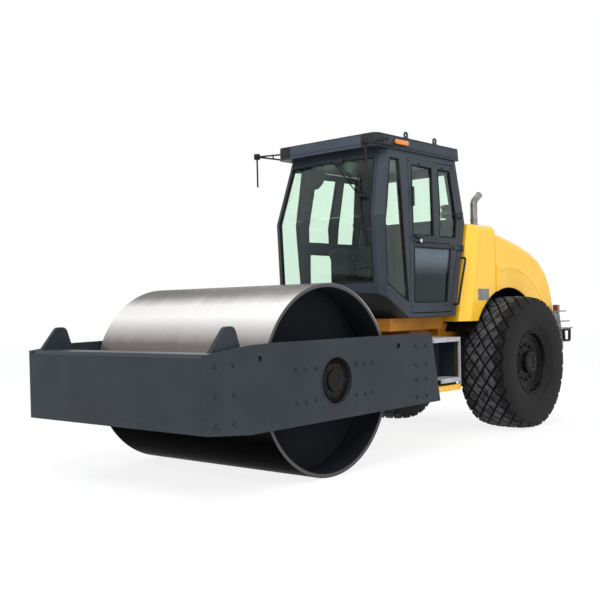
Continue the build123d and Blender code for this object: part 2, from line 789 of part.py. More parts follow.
def roof_lamps():
    """Marker lamp on each side of the roof, long with round ends."""
    lamps = []
    lean_in = roof_flare * (lamp_z - 25 - roof_lip) / roof_depth
    for side in (-1, 1):
        x = side * (roof_half - lean_in + 15 + seat_gap)
        lens = Box(50, 2 * lamp_half, 30) + Pos(0, lamp_half, 0) * Cylinder(25, 30)
        lens += Pos(0, -lamp_half, 0) * Cylinder(25, 30)
        lamps.append(Pos(x, lamp_y, lamp_z) * Rot(0, 90, 0) * lens)
    return lamps


mirror_bar = 9
mirror_foot = 14
mirror_clamp = 30
left_root = roof_half + 12
right_root = -roof_half - 6
# left arm swung forwards, right arm swung out: tip, length of the hanging stalk, roots on the roof
mirror_arms = [
    ((700, roof_front_y - 215, roof_lip + 8), 440,
     [(left_root, roof_front_y + 185, roof_lip + 85), (left_root, roof_front_y + 265, roof_lip + 28)]),
    ((-870, roof_front_y - 115, roof_lip + 58), 330,
     [(right_root, roof_front_y + 175, roof_lip + 100), (right_root, roof_front_y + 215, roof_lip + 26)]),
]


def mirror_arm(tip, drop, roots):
    """Two bars from the roof's side to a clamp, a cross bar, and the stalk that hangs from the clamp."""
    part = None
    for x, y, z in roots:
        run = bar((x, y, z), tip, mirror_bar)
        inner = math.copysign(roof_half - 12, x)
        run += block(*sorted((inner, x)), y - mirror_foot, y + mirror_foot, z - mirror_foot, z + mirror_foot)
        part = run if part is None else part + run
    middles = [tuple((a + b) / 2 for a, b in zip(root, tip)) for root in roots]
    part += bar(*middles, mirror_bar - 2)
    x, y, z = tip
    part += rod_z(z - mirror_clamp, z + mirror_clamp, x, y, mirror_bar + 7)
    return part + rod_z(z - drop, z, x, y, mirror_bar) - roof()


seat_half = 240
seat_top = 1830
seat_back_top = 2400
seat_front = pivot_y - 200


def seat():
    """Driver's seat: cushion, tall back with rounded shoulders, grab arch on top; and its pedestal."""
    back_y = pivot_y + 200
    cushion = block(-seat_half, seat_half, seat_front, back_y + 90, seat_top - 130, seat_top)
    cushion = fillet(cushion.edges().filter_by(Axis.Z), 60)
    right = [
        (seat_half, seat_top - 40), (seat_half + 10, seat_back_top - 200),
        (seat_half - 60, seat_back_top),
    ]
    back = front_plate(right + [(-x, z) for x, z in reversed(right)], back_y, back_y + 130)
    back = fillet(back.edges().filter_by(Axis.Y).sort_by(Axis.Z)[-4:], 90)
    arch = tube([(-75, back_y + 70, seat_back_top - 5), (-75, back_y + 70, seat_back_top + 70),
                 (75, back_y + 70, seat_back_top + 70), (75, back_y + 70, seat_back_top - 5)], 45, 11, 8)
    pedestal = block(-170, 170, pivot_y - 100, pivot_y + 250, cab_floor + cab_wall, seat_top - 130 - seat_gap)
    return cushion + back + arch, pedestal


wheel_place = Pos(0, pivot_y - 260, 1990) * Rot(-25, 0, 0)


def console():
    """Steering column and dash pod ahead of the seat."""
    knee = sill_knee_y + 15
    slope = (sill_front_z - cab_floor) / (knee - sill_front_y - 25)
    foot_y = pivot_y - 400
    floor = cab_floor + cab_wall + seat_gap
    outline = [
        (foot_y, floor + slope * (knee - foot_y) + 1), (knee, floor), (knee + 40, floor),
        (pivot_y - 250, 1880), (pivot_y - 400, 1940),
    ]
    column = side_plate(outline, -110, 110)
    shaft = wheel_place * Pos(0, 0, -15 - seat_gap - 75) * Cylinder(25, 150)
    return column + shaft


def steering_wheel():
    ring = extrude(RegularPolygon(200, 32) - RegularPolygon(172, 32), amount=12, both=True)
    return wheel_place * (ring + Cylinder(45, 30) + Box(360, 30, 14) + Box(30, 360, 14))


# ---- hood and cowl ------------------------------------------------------------------------
hood_half = 830
cowl_top = 2360
hood_split_y = axle_y - 285
hood_low = 1250
panel_wall = 12
arch_radius = 825
hood_profile = [
    (hood_split_y + body_gap, cowl_top - 63), (axle_y + 38, cowl_top - 125), (axle_y + 328, cowl_top - 188),
    (axle_y + 600, cowl_top - 265), (axle_y + 830, cowl_top - 365), (axle_y + 1010, cowl_top - 510),
    (axle_y + 1120, cowl_top - 670), (axle_y + 1190, cowl_top - 850), (axle_y + 1235, hood_low),
]


shoulder_radius = 95
flare_rise = 12
flare_radius = arch_radius + 245
grille_half = 430
grille_low = 1360
grille_high = 1760
grille_rim = 30
grille_depth = 40
grille_slats = 9
hood_hinge_x = 480
hood_hinge_y = hood_split_y + body_gap + 12
hood_hinge_z = hood_profile[0][1] + 16


def hood_blank(inset):
    """Hood form: curved back in side view, rounded shoulders."""
    front = hood_profile[0][0] - 60
    under = hood_low - 60
    tail = hood_profile[-1][0] + 10
    outline = [(front, under), (front, hood_profile[0][1] + 13), *hood_profile, (tail, under)]
    profile = Polygon(*outline, align=None)
    if inset:
        profile = offset(profile, amount=-inset)
    half = hood_half - inset
    form = extrude(Plane.YZ.offset(-half) * profile, amount=2 * half, dir=(1, 0, 0))
    top = []
    for edge in form.edges():
        x, y, z = edge.center()
        if abs(abs(x) - half) < 1 and y > front + 30 and z > hood_low + 20:
            top.append(edge)
    return fillet(top, shoulder_radius - inset)


def hood():
    shell = hood_blank(0) - hood_blank(panel_wall)
    room = block(-side_out, side_out, hood_split_y + body_gap, rear_y, hood_low, cowl_top + 40)
    shell = shell & room
    for x in (-hood_hinge_x, hood_hinge_x):
        leaf = block(x - 30, x + 30, hood_hinge_y, hood_hinge_y + 70, hood_hinge_z - 30, hood_hinge_z - 6)
        leaf += rod_x(x - 30, x + 30, hood_hinge_y, hood_hinge_z, 14)
        shell += leaf - rod_x(x - 31, x + 31, hood_hinge_y, hood_hinge_z, hinge_pin_radius + run_fit)
    shell += fender_flare()
    shell += other_side(fender_flare())
    shell -= block(-grille_half, grille_half, axle_y + 900, rear_y, grille_low, grille_high)
    return shell - rod_x(-hood_half - 20, hood_half + 20, axle_y, axle_z + 50, arch_radius)


def fender_flare():
    """Raised band round the left wheel arch, fading into the hood's tail."""
    front = hood_split_y + body_gap
    ring = rod_x(hood_half - 1, hood_half + flare_rise, axle_y, axle_z + 50, flare_radius)
    reach = [
        (front, hood_low), (front, 1950), (axle_y + 700, 1950),
        (axle_y + 1090, 1560), (axle_y + 1165, hood_low),
    ]
    band = ring & side_plate(reach, hood_half - 2, hood_half + 60)
    return band.solid()


def rear_grille():
    """Cooling grille in the hood's tail: level slats between upright bars."""
    line = [(y, z) for y, z in hood_profile if z < grille_high + 200]
    inner = [(y - grille_depth, z) for y, z in reversed(line)]
    strip = side_plate(line + inner, -grille_half, grille_half)
    strip &= block(-grille_half, grille_half, axle_y, rear_y, grille_low, grille_high)
    pitch = (grille_high - grille_low - grille_rim) / grille_slats
    gaps = None
    for k in range(grille_slats):
        z = grille_low + grille_rim + k * pitch
        slot = block(-grille_half + grille_rim, grille_half - grille_rim, axle_y, rear_y, z, z + pitch * 0.5)
        gaps = slot if gaps is None else gaps + slot
    for x in (-grille_half / 3, grille_half / 3):
        gaps -= block(x - 12, x + 12, axle_y, rear_y, grille_low, grille_high)
    return strip - gaps


def cowl():
    """Fixed body between cab and hood, with cut front corners."""
    faces = []
    for z, cab_rear in ((cowl_low, cab_sections[0][2]), (cowl_top, cab_sections[1][2])):
        y0 = cab_rear + 2 * body_gap
        faces.append(Plane.XY.offset(z) * Polygon(
            (cab_half, y0), (hood_half, y0 + 100), (hood_half, hood_split_y),
            (-hood_half, hood_split_y), (-hood_half, y0 + 100), (-cab_half, y0), align=None))
    body = loft(faces, ruled=True)
    top = [e for e in body.edges().filter_by(Axis.Y) if e.center().Z > cowl_top - 1]
    body = fillet(top, shoulder_radius)
    body -= rod_x(-hood_half - 10, hood_half + 10, axle_y, axle_z + 50, arch_radius)
    for x in (-hood_hinge_x, hood_hinge_x):
        body += rod_x(x - 44, x + 44, hood_hinge_y, hood_hinge_z, hinge_pin_radius)
        for x0 in (x - 44, x + 32):
            body += rod_x(x0, x0 + 12, hood_hinge_y, hood_hinge_z, 14)
            body += block(x0, x0 + 12, hood_split_y - 1, hood_hinge_y, hood_hinge_z - 10, hood_hinge_z + 10)
    return body


def wheel_wells():
    """Liners over the tyres, inside the hood: a curved shelf and an inner wall on the rail."""
    z = axle_z + 50
    outer = arch_radius - 3
    x1 = hood_half - panel_wall - 4
    arch = rod_x(rail_x, x1, axle_y, z, outer) - rod_x(rail_x + 10, x1 + 1, axle_y, z, outer - 8)
    reach = outer + 1
    well = arch & block(0, side_out, axle_y - reach, axle_y + reach, rail_top - 120, z + reach)
    return [well, other_side(well)]


def exhaust():
    """Stack out of the cowl roof, bent rearwards."""
    x, y = 620, axle_y - 390
    return tube([(x, y, cowl_top), (x, y, cowl_top + 290), (x, y + 120, cowl_top + 370)], 90, 40, 16)


cleaner_x = 417
cleaner_neck = 110
# rings of the intake bowl: start and end above the cowl, radius
cleaner_rings = [(100, 175, 97), (175, 185, 80), (185, 215, 90), (215, 250, 101)]


def air_cleaner():
    """Round intake bowl on a short neck."""
    x, y = cleaner_x, pivot_y + 1120
    part = rod_z(cowl_top, cowl_top + cleaner_neck, x, y, 40)
    for start, end, radius in cleaner_rings:
        part += rod_z(cowl_top + start, cowl_top + end, x, y, radius)
    return part


tail_beam_rear = tail_y + 190
beam_low = 860
beam_top = 1060
# shelves of the tail: top, front end, rear end
shelf_levels = [
    (1350, tail_y - 120, tail_y + 110),
    (1220, tail_y - 60, tail_y + 215),
    (1130, tail_y - 30, rear_y),
]
shelf_wall = 14
shelf_in = hood_half + flare_rise + body_gap
shelf_out = shelf_in + 85


def rear_bumper():
    """Tail beam across the chassis ends."""
    wall = 20
    beam = block(-shelf_in, shelf_in, tail_y, tail_beam_rear, beam_low, beam_top)
    beam -= block(
        -shelf_in + wall, shelf_in - wall, tail_y + wall, tail_beam_rear - wall,
        beam_low + wall, beam_top + 1)
    return beam


def tail_bracket():
    """Left tail bracket: a web plate off the beam's end with three stepped shelves."""
    top = shelf_levels[0][0] - shelf_wall
    outline = [
        (tail_y - 120, top), (tail_y + 60, top), (tail_y + 120, 1100), (tail_y + 190, beam_top),
        (tail_y + 120, 800), (tail_y + 40, 800), (tail_y, beam_top), (tail_y - 60, 1180),
    ]
    web = side_plate(outline, shelf_in, shelf_in + 16)
    for top, front, rear in shelf_levels:
        web += block(shelf_in, shelf_out, front, rear, top - shelf_wall, top)
    return web


def tail_loop():
    """Left lashing loop, a closed bar hanging off the lowest shelf."""
    y0, y1 = tail_y + 70, rear_y - 30
    z0, z1 = 950, shelf_levels[2][0] - shelf_wall
    x0, x1 = shelf_out - 40, shelf_out - 12
    outer = side_plate([(y0, z1), (y1, z1), (y1 - 10, z0), (y0 + 20, z0)], x0, x1)
    outer = fillet(outer.edges().filter_by(Axis.X).sort_by(Axis.Z)[:2], 40)
    hole = [(y0 + 28, z1 - 28), (y1 - 28, z1 - 28), (y1 - 36, z0 + 28), (y0 + 44, z0 + 28)]
    return outer - side_plate(hole, x0 - 1, x1 + 1)


def tail_lamp():
    """Left tail lamp, standing on the upper shelf beside the hood."""
    top = shelf_levels[0][0]
    return block(shelf_in + 12, shelf_out - 8, tail_y - 115, tail_y - 55, top, top + 75)


step_out = 880
step_front = pivot_y + 110
step_rear = pivot_y + 560
step_lip = 45                  # depth of a tread's turned-down edge
step_strip = 25                # width of the strip that joins the treads
tread_wall = 14
tread_levels = [(1108, step_front - 76, rail_x), (676, step_front + 70, 640)]  # top, front end, inner edge
step_floor = 600


def step_treads(side):
    """Two treads with turned-down edges, and the end strip that joins them."""
    high = tread_levels[0][0] - 1
    part = block(step_out - step_strip, step_out, step_rear - 16, step_rear, step_floor, high)
    for top, front, inner in tread_levels:
        part += block(inner, step_out, front, step_rear - 1, top - tread_wall, top)
        part += block(step_out - tread_wall, step_out, front, step_rear - 1, top - step_lip, top)
    return part if side > 0 else other_side(part)


def step_box(side):
    """Dark box behind the treads, hung from the chassis side plate."""
    high, low = tread_levels[0][0] - tread_wall, step_floor
    inner = step_out - 60
    part = block(rail_x, inner, step_rear - 14, step_rear, low, high)
    part += block(rail_x, inner - 20, step_front, step_front + 12, low, high)
    part += block(600, 612, step_front, step_rear, low, high)
    top, _, tread_inner = tread_levels[1]
    part -= block(tread_inner, step_out, step_front - 1, step_rear + 1, top - tread_wall, top)
    return part if side > 0 else other_side(part)


def step_sill(side):
    """Yellow sill under the lower tread."""
    part = block(rail_x, step_out - 20, step_front + 10, step_rear + 30, step_floor - 60, step_floor)
    part -= block(
        rail_x - 1, step_out - 32, step_front + 22, step_rear + 18,
        step_floor - 61, step_floor - 12)
    return part if side > 0 else other_side(part)


def grab_rails():
    x0, x1 = cab_half, cab_half + 55
    low, high = (pivot_y + 690, 1460), (pivot_y + 860, 1975)
    rail = tube([(x0, *low), (x1, *low), (x1, *high), (x0, *high)], 25, 12, 8)
    return [rail, other_side(rail)]


def tank():
    return [block(-rail_x + rail_wall, rail_x - rail_wall, base_pin_y + 170, axle_y - 420, 640, 1180)]


def build():
    os.makedirs("parts", exist_ok=True)
    left = frame_side()
    save("left_side_plate", left)
    save("right_side_plate", other_side(left))
    save("front_beam", front_beam())
    ear = nose_ear()
    save("nose_ears", ear, other_side(ear))
    save("rear_beam", rear_beam())
    save("drum", drum())
    carrier = drum_carrier()
    save("drum_carriers", carrier, other_side(carrier))
    save("scrapers", scraper(True), scraper(False))
    save("centre_yoke", centre_yoke())
    save("steer_pin", steer_pin())
    save("cab_mounts", *cab_mounts())
    save("chassis_frame", chassis_frame())
    save("pivot_bracket", pivot_bracket())
    save("rear_axle", rear_axle())
    save("engine_block", engine_block())
    for side, name in ((1, "left"), (-1, "right")):
        save(name + "_tyre", tyre(side))
        save(name + "_rim", rim(side))
        save(name + "_barrel", cylinder_barrel(side))
        save(name + "_rod", cylinder_rod(side))
    for name, make in (("step_boxes", step_box), ("treads", step_treads), ("step_sills", step_sill)):
        save(name, make(1), make(-1))
    for name, shape in cab_parts().items():
        save(name, shape)
    save("roof", roof())
    save("lifting_eyes", *lifting_eyes())
    save("mirror_arms", *[mirror_arm(*row) for row in mirror_arms])
    cushion, pedestal = seat()
    save("seat", cushion)
    save("seat_pedestal", pedestal)
    save("console", console())
    save("steering_wheel", steering_wheel())
    save("roof_lamps", *roof_lamps())
    save("hood", hood())
    save("rear_grille", rear_grille())
    save("cowl", cowl())
    save("wheel_wells", *wheel_wells())
    save("exhaust", exhaust())
    save("air_cleaner", air_cleaner())
    save("rear_bumper", rear_bumper())
    bracket, loop, lamp = tail_bracket(), tail_loop(), tail_lamp()
    save("tail_brackets", bracket, other_side(bracket))
    save("tail_loops", loop, other_side(loop))
    save("tail_lamps", lamp, other_side(lamp))
    save("grab_rails", *grab_rails())
    save("fuel_tank", *tank())


build()
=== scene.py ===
import math

import bmesh
import bpy
from mathutils import Matrix, Vector


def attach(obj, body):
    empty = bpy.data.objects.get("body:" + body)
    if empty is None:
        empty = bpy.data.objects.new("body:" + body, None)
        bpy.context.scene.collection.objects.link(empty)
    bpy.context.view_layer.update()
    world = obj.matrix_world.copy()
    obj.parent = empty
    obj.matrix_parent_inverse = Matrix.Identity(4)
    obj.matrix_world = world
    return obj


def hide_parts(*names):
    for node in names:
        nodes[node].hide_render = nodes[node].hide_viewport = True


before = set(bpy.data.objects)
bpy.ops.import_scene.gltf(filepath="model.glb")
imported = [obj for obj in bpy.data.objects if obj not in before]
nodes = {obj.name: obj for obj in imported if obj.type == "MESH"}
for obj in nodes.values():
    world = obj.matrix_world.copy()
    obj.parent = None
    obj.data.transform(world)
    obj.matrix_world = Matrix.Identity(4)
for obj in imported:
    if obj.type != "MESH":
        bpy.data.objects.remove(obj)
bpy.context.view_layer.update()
scene = bpy.context.scene
print("frame loaded:", len(nodes), "nodes")

# camera

cameraSet = {
    "place": (6.092, -7.778, 1.462),
    "turn": 0.704,          # radians from +Y towards -X
    "pitch": -0.015,
    "roll": -0.023,
    "lens": 54.47,
    "sensor": 36.0,
    "shift": (-0.0384, 0.0347),
}


def addCamera(look):
    turn, pitch, roll = look["turn"], look["pitch"], look["roll"]
    ahead = Vector((-math.sin(turn) * math.cos(pitch), math.cos(turn) * math.cos(pitch), math.sin(pitch)))
    side = ahead.cross(Vector((0, 0, 1))).normalized()
    up = side.cross(ahead)
    rightward = side * math.cos(roll) + up * math.sin(roll)
    upward = up * math.cos(roll) - side * math.sin(roll)
    axes = Matrix((rightward, upward, -ahead)).transposed()
    lensData = bpy.data.cameras.new("camera")
    lensData.lens = look["lens"]
    lensData.sensor_width = look["sensor"]
    lensData.shift_x, lensData.shift_y = look["shift"]
    camera = bpy.data.objects.new("camera", lensData)
    scene.collection.objects.link(camera)
    camera.matrix_world = Matrix.Translation(look["place"]) @ axes.to_4x4()
    scene.camera = camera


addCamera(cameraSet)
scene.view_settings.view_transform = "Standard"


# node recipes

def colour(hexText):
    # a screen colour as the linear colour that a shader takes
    parts = [int(hexText[i:i + 2], 16) / 255 for i in (1, 3, 5)]
    linear = [c / 12.92 if c <= 0.04045 else ((c + 0.055) / 1.055) ** 2.4 for c in parts]
    return (*linear, 1.0)


class Wire:
    # one socket of a node tree, with the maths that the materials use
    def __init__(self, recipe, socket):
        self.recipe, self.socket = recipe, socket

    def maths(self, operation, left, right=0.0):
        return self.recipe.node("ShaderNodeMath", {"operation": operation}, {0: left, 1: right})

    def __add__(self, other):
        return self.maths("ADD", self, other)

    __radd__ = __add__

    def __sub__(self, other):
        return self.maths("SUBTRACT", self, other)

    def __rsub__(self, other):
        return self.maths("SUBTRACT", other, self)

    def __mul__(self, other):
        return self.maths("MULTIPLY", self, other)

    __rmul__ = __mul__

    def __truediv__(self, other):
        return self.maths("DIVIDE", self, other)

    def __pow__(self, other):
        return self.maths("POWER", self, other)

    def most(self, other):
        return self.maths("MAXIMUM", self, other)


class Recipe:
    # the node tree of one material or world; text such as "#7a746a" stands for a screen colour
    def __init__(self, owner):
        owner.use_nodes = True
        self.owner = owner
        self.tree = owner.node_tree
        self.tree.nodes.clear()

    def node(self, kind, settings=None, sockets=None, out=0):
        made = self.tree.nodes.new(kind)
        for key, value in (settings or {}).items():
            if key == "stops":
                self.fillRamp(made.color_ramp, value)
            else:
                setattr(made, key, value)
        for key, value in (sockets or {}).items():
            if isinstance(value, Wire):
                self.tree.links.new(value.socket, made.inputs[key])
            else:
                made.inputs[key].default_value = colour(value) if isinstance(value, str) else value
        return Wire(self, made.outputs[out]) if made.outputs else made

    def fillRamp(self, ramp, stops):
        while len(ramp.elements) > 1:
            ramp.elements.remove(ramp.elements[-1])
        for count, (place, tone) in enumerate(stops):
            element = ramp.elements[0] if count == 0 else ramp.elements.new(place)
            element.position = place
            element.color = colour(tone)

    def place(self):
        return self.node("ShaderNodeTexCoord", out="Object")

    def part(self, axis):
        return self.node("ShaderNodeSeparateXYZ", {}, {0: self.place()}, out=axis)

    def reach(self, middleY, middleZ):
        # distance from an axis along X, and the height above it
        back, up = self.part("Y") - middleY, self.part("Z") - middleZ
        return (back * back + up * up) ** 0.5, up

    def noise(self, size, detail=3.0, stretch=(1, 1, 1), rough=0.5):
        spot = self.node("ShaderNodeMapping", {}, {"Vector": self.place(), "Scale": stretch})
        return self.node("ShaderNodeTexNoise", {},
                         {"Vector": spot, "Scale": 1 / size, "Detail": detail, "Roughness": rough})

    def streaks(self, along, scale, detail, rough=0.5):
        return self.node("ShaderNodeTexNoise", {"noise_dimensions": "1D"},
                         {"W": along * scale, "Scale": 1.0, "Detail": detail, "Roughness": rough})

    def band(self, value, low, high):
        # 0 under low, 1 over high, smooth between
        return self.node("ShaderNodeMapRange", {"interpolation_type": "SMOOTHSTEP"},
                         {"Value": value, "From Min": low, "From Max": high})

    def blend(self, factor, first, second):
        return self.node("ShaderNodeMix", {"data_type": "RGBA"}, {0: factor, 6: first, 7: second}, out=2)

    def bump(self, strength, distance, height, **more):
        given = {"Strength": strength, "Distance": distance, "Height": height, **more}
        return self.node("ShaderNodeBump", {}, given)

    def finish(self, sockets):
        self.close(self.node("ShaderNodeBsdfPrincipled", {}, sockets))
        return self.owner

    def close(self, shader, kind="ShaderNodeOutputMaterial"):
        self.node(kind, {}, {"Surface": shader})


def newRecipe(name):
    return Recipe(bpy.data.materials.new(name))


# paints

paintBase = {
    "cloud": 0.55, "grain": 0.035, "peel": 0.004, "scuff": 0.09, "mark": 0.018,      # sizes of the patterns
    "sheen": 0.2, "coat": 0.0, "wear": 0.3, "edge": 0.005, "scratch": 0.12, "dustTint": "#7a746a",
}
paintSet = {
    "framePaint": {"dark": "#262c31", "light": "#2d343a", "rubbed": "#5a6166", "rough": 0.46,
                   "dust": 0.16, "dustTop": 0.9, "wear": 0.4, "edge": 0.008},
    "cabPaint": {"dark": "#2b333b", "light": "#343c44", "rubbed": "#666c74", "rough": 0.42,
                 "dust": 0.08, "dustTop": 2.0, "sheen": 0.22},
    # lighter copy of the cab paint: painted light on the roof's front panel
    "roofPaint": {"dark": "#3a424d", "light": "#444c58", "rubbed": "#6e747c", "rough": 0.42,
                  "dust": 0.08, "dustTop": 2.0, "sheen": 0.22},
    "yellowPaint": {"dark": "#f9be2b", "light": "#fdc93a", "rubbed": "#e6b95e", "rough": 0.3,
                    "dust": 0.10, "dustTop": 1.7, "sheen": 0.35, "coat": 0.25, "wear": 0.2, "scratch": 0.05},
    # darker, browner copy of the yellow paint: painted shade on the chassis, pivot bracket and rear axle
    # under the cab
    "underPaint": {"dark": "#a4691b", "light": "#c0812a", "rubbed": "#c79a4e", "rough": 0.45,
                   "dust": 0.3, "dustTop": 1.6, "sheen": 0.25, "scratch": 0.05},
    "boxPaint": {"dark": "#232830", "light": "#2b3138", "rubbed": "#50545a", "rough": 0.5,
                 "dust": 0.2, "dustTop": 1.2, "edge": 0.004},
    "blackPaint": {"dark": "#131415", "light": "#1a1b1d", "rubbed": "#48484a", "rough": 0.5,
                   "dust": 0.35, "dustTop": 1.2, "wear": 0.35},
    "rimPaint": {"dark": "#08080a", "light": "#0e0e10", "rubbed": "#2c2c2e", "rough": 0.45,
                 "dust": 0.07, "dustTop": 1.3, "sheen": 0.15, "edge": 0.006},
}


def paint(name, given):
    # sprayed coat: cloudy tone, fine orange peel, rubbed edges, dust that gathers low down
    look = {**paintBase, **given}
    r = newRecipe(name)
    cloud = r.noise(look["cloud"], 4.0)
    grain = r.noise(look["grain"], 5.0)
    peel = r.noise(look["peel"], 2.0)
    scuff = r.noise(look["scuff"], 6.0, (1, 1, 3), 0.65)
    soft = r.node("ShaderNodeBevel", {"samples": 4}, {"Radius": look["edge"]})
    flat = r.node("ShaderNodeNewGeometry", out="Normal")
    level = r.node("ShaderNodeVectorMath", {"operation": "DOT_PRODUCT"}, {0: soft, 1: flat}, out="Value")
    edge = r.band(1 - level, 0.01, 0.12) * r.band(grain, 0.38, 0.62)
    low = r.band(look["dustTop"] - r.part("Z"), 0.0, look["dustTop"])
    dust = low * r.band(scuff, 0.42, 0.75) * look["dust"]
    scratch = r.band(r.noise(look["mark"], 6.0, (1, 1, 9), 0.7), 0.70, 0.78)
    body = r.blend(r.band(cloud, 0.3, 0.7), look["dark"], look["light"])
    body = r.blend(edge * look["wear"], body, look["rubbed"])
    body = r.blend(dust, body, look["dustTint"])
    body = r.blend(scratch * look["scratch"], body, look["rubbed"])
    rough = look["rough"] + (cloud - 0.5) * 0.12 + dust * 0.5 + scratch * 0.08
    return r.finish({"Base Color": body, "Roughness": rough, "Metallic": 0.0,
                     "Specular IOR Level": look["sheen"], "Coat Weight": look["coat"], "Coat Roughness": 0.12,
                     "Normal": r.bump(0.12, 0.0006, peel + grain * 0.6, Normal=soft)})


# metals

steelSet = {
    "axis": (-1.81, 0.835), "radius": 0.835, "wall": 0.038,       # y and z of the drum's axis, shell
    "lines": 0.07, "lineTint": "#8a8583",
    # painted shade and painted highlight: tone from near black at the foot of the drum (0), through a near
    # white painted band, to its crown (1); fixed to the drum, so it turns with it
    "tones": [(0.0, "#040303"), (0.08, "#050404"), (0.22, "#0b0908"), (0.50, "#474340"), (0.70, "#7b7673"),
              (0.78, "#cfcac7"), (0.84, "#fffdfb"), (0.90, "#fdfaf8"), (0.95, "#a6a3a1"), (1.0, "#827f7d")],
    "ring": "#5a5759", "inside": "#24252a", "dust": "#2b2a28", "rust": "#4d382c",
    # keeps grazing reflections down at the crown and foot
    "edgeTint": (0.02, 0.02, 0.02, 1), "bend": 1.05,
}


def rolledSteel(name, look):
    # polished by use outside, with fine lines along the way it rolls; black paint inside. Its near black foot
    # and bright band below the crown are painted shade and a painted highlight
    r = newRecipe(name)
    across = r.part("X")
    reach, up = r.reach(*look["axis"])
    radius, wall = look["radius"], look["wall"]
    shell = r.band(reach, radius - wall * 0.9, radius - wall * 0.8)
    rolled = r.band(reach, radius - 0.006, radius - 0.002)
    lines = r.streaks(across, 90, 6.0, 0.7)
    broad = r.streaks(across, 5, 2.0)
    stain = r.noise(0.22, 6.0, rough=0.62)
    speck = r.band(r.noise(0.02, 5.0, rough=0.7), 0.62, 0.74) * r.band(stain, 0.45, 0.7)
    # crown is the height round the drum's axis, 0 at the foot and 1 at the crown; it sets the painted shade
    # and painted highlight, and fades the lines and rust specks out towards the foot
    crown = 0.5 + 0.5 * up / reach
    steelWithPaintedLight = r.node("ShaderNodeValToRGB", {"stops": look["tones"]}, {"Fac": crown + (broad - 0.5) * 0.02})
    brushed = r.band(lines * 0.6 + broad * 0.4, 0.3, 0.7) * r.band(crown, 0.3, 0.8) * look["lines"]
    steelWithPaintedLight = r.blend(brushed, steelWithPaintedLight, look["lineTint"])
    steelWithPaintedLight = r.blend(speck * r.band(crown, 0.2, 0.6) * 0.2, steelWithPaintedLight, look["rust"])
    steelWithPaintedLight = r.blend(rolled, look["ring"], steelWithPaintedLight)
    paintInside = r.blend(r.band(r.noise(0.12, 5.0), 0.45, 0.8) * 0.12, look["inside"], look["dust"])
    rough = 0.3 + (lines - 0.5) * 0.22 + speck * 0.25
    return r.finish({"Base Color": r.blend(shell, paintInside, steelWithPaintedLight), "Metallic": shell * 0.5,
                     "Roughness": rough * shell + (1 - shell) * 0.6, "Specular IOR Level": 0.3,
                     "IOR": look["bend"], "Specular Tint": look["edgeTint"],
                     "Normal": r.bump(0.10, 0.0008, lines * 0.7 + speck)})


metalBase = {"stain": 0.3, "stainTint": "#4a4038", "metal": 0.9}
metalSet = {
    "pinSteel": {"dark": "#7d7a76", "light": "#9b9894", "rough": 0.35},
    "rodChrome": {"dark": "#c5c5c5", "light": "#dcdcdc", "rough": 0.08, "stain": 0.05, "metal": 1.0},
    "treadMetal": {"dark": "#a3a7ab", "light": "#c0c3c6", "rough": 0.5, "stain": 0.35, "stainTint": "#7d7a75",
                   "metal": 0.25},
    "bracketMetal": {"dark": "#6f726f", "light": "#8d8f8c", "rough": 0.5, "metal": 0.2},
    "pipeSteel": {"dark": "#74716f", "light": "#9a9795", "rough": 0.42, "stain": 0.5, "stainTint": "#5d4536",
                  "metal": 0.6},
    "engineIron": {"dark": "#2c2c2c", "light": "#3a3a3a", "rough": 0.65, "metal": 0.3},
}


def plainMetal(name, given):
    # turned, drawn or plated metal with a fine grain and handling marks
    look = {**metalBase, **given}
    r = newRecipe(name)
    grain = r.noise(0.006, 4.0, (1, 1, 6), 0.6)
    cloud = r.noise(0.12, 4.0)
    stain = r.band(r.noise(0.03, 6.0, rough=0.7), 0.58, 0.74) * look["stain"]
    tone = r.blend(r.band(cloud * 0.6 + grain * 0.4, 0.35, 0.65), look["dark"], look["light"])
    tone = r.blend(stain, tone, look["stainTint"])
    return r.finish({"Base Color": tone, "Roughness": look["rough"] + (cloud - 0.5) * 0.15 + stain * 0.3,
                     "Metallic": look["metal"], "Normal": r.bump(0.15, 0.0005, grain)})


# rubber, plastic, glass and cloth

mouldedBase = {"grain": 0.004, "sheen": 0.3, "dustTint": "#5f5b55"}
mouldedSet = {
    "plastic": {"dark": "#191b1e", "light": "#222428", "rough": 0.6, "dust": 0.12},
    "liner": {"dark": "#15130f", "light": "#1e1a15", "rough": 0.9, "dust": 0.2, "sheen": 0.03},
    "rubber": {"dark": "#0f0f10", "light": "#171719", "rough": 0.75, "dust": 0.12, "grain": 0.003},
}


def grained(name, given):
    # moulded plastic or rubber: cellular grain, greyed where it weathers
    look = {**mouldedBase, **given}
    r = newRecipe(name)
    cells = r.node("ShaderNodeTexVoronoi", {"feature": "F1"},
                   {"Vector": r.place(), "Scale": 1 / look["grain"]}, out="Distance")
    cloud = r.noise(0.15, 4.0)
    dusty = r.band(r.noise(0.05, 6.0, rough=0.65), 0.5, 0.78) * look["dust"]
    tone = r.blend(r.band(cloud, 0.35, 0.65), look["dark"], look["light"])
    tone = r.blend(dusty, tone, look["dustTint"])
    rough = look["rough"] + (cloud - 0.5) * 0.12 + dusty * 0.2
    return r.finish({"Base Color": tone, "Roughness": rough, "Metallic": 0.0,
                     "Specular IOR Level": look["sheen"], "Normal": r.bump(0.25, 0.0006, cells)})


treadSet = {"axis": (1.8, 0.77), "radius": 0.77, "dark": "#0e0e10", "light": "#17171a", "worn": "#5a5b5f",
            "dust": "#4a4846"}


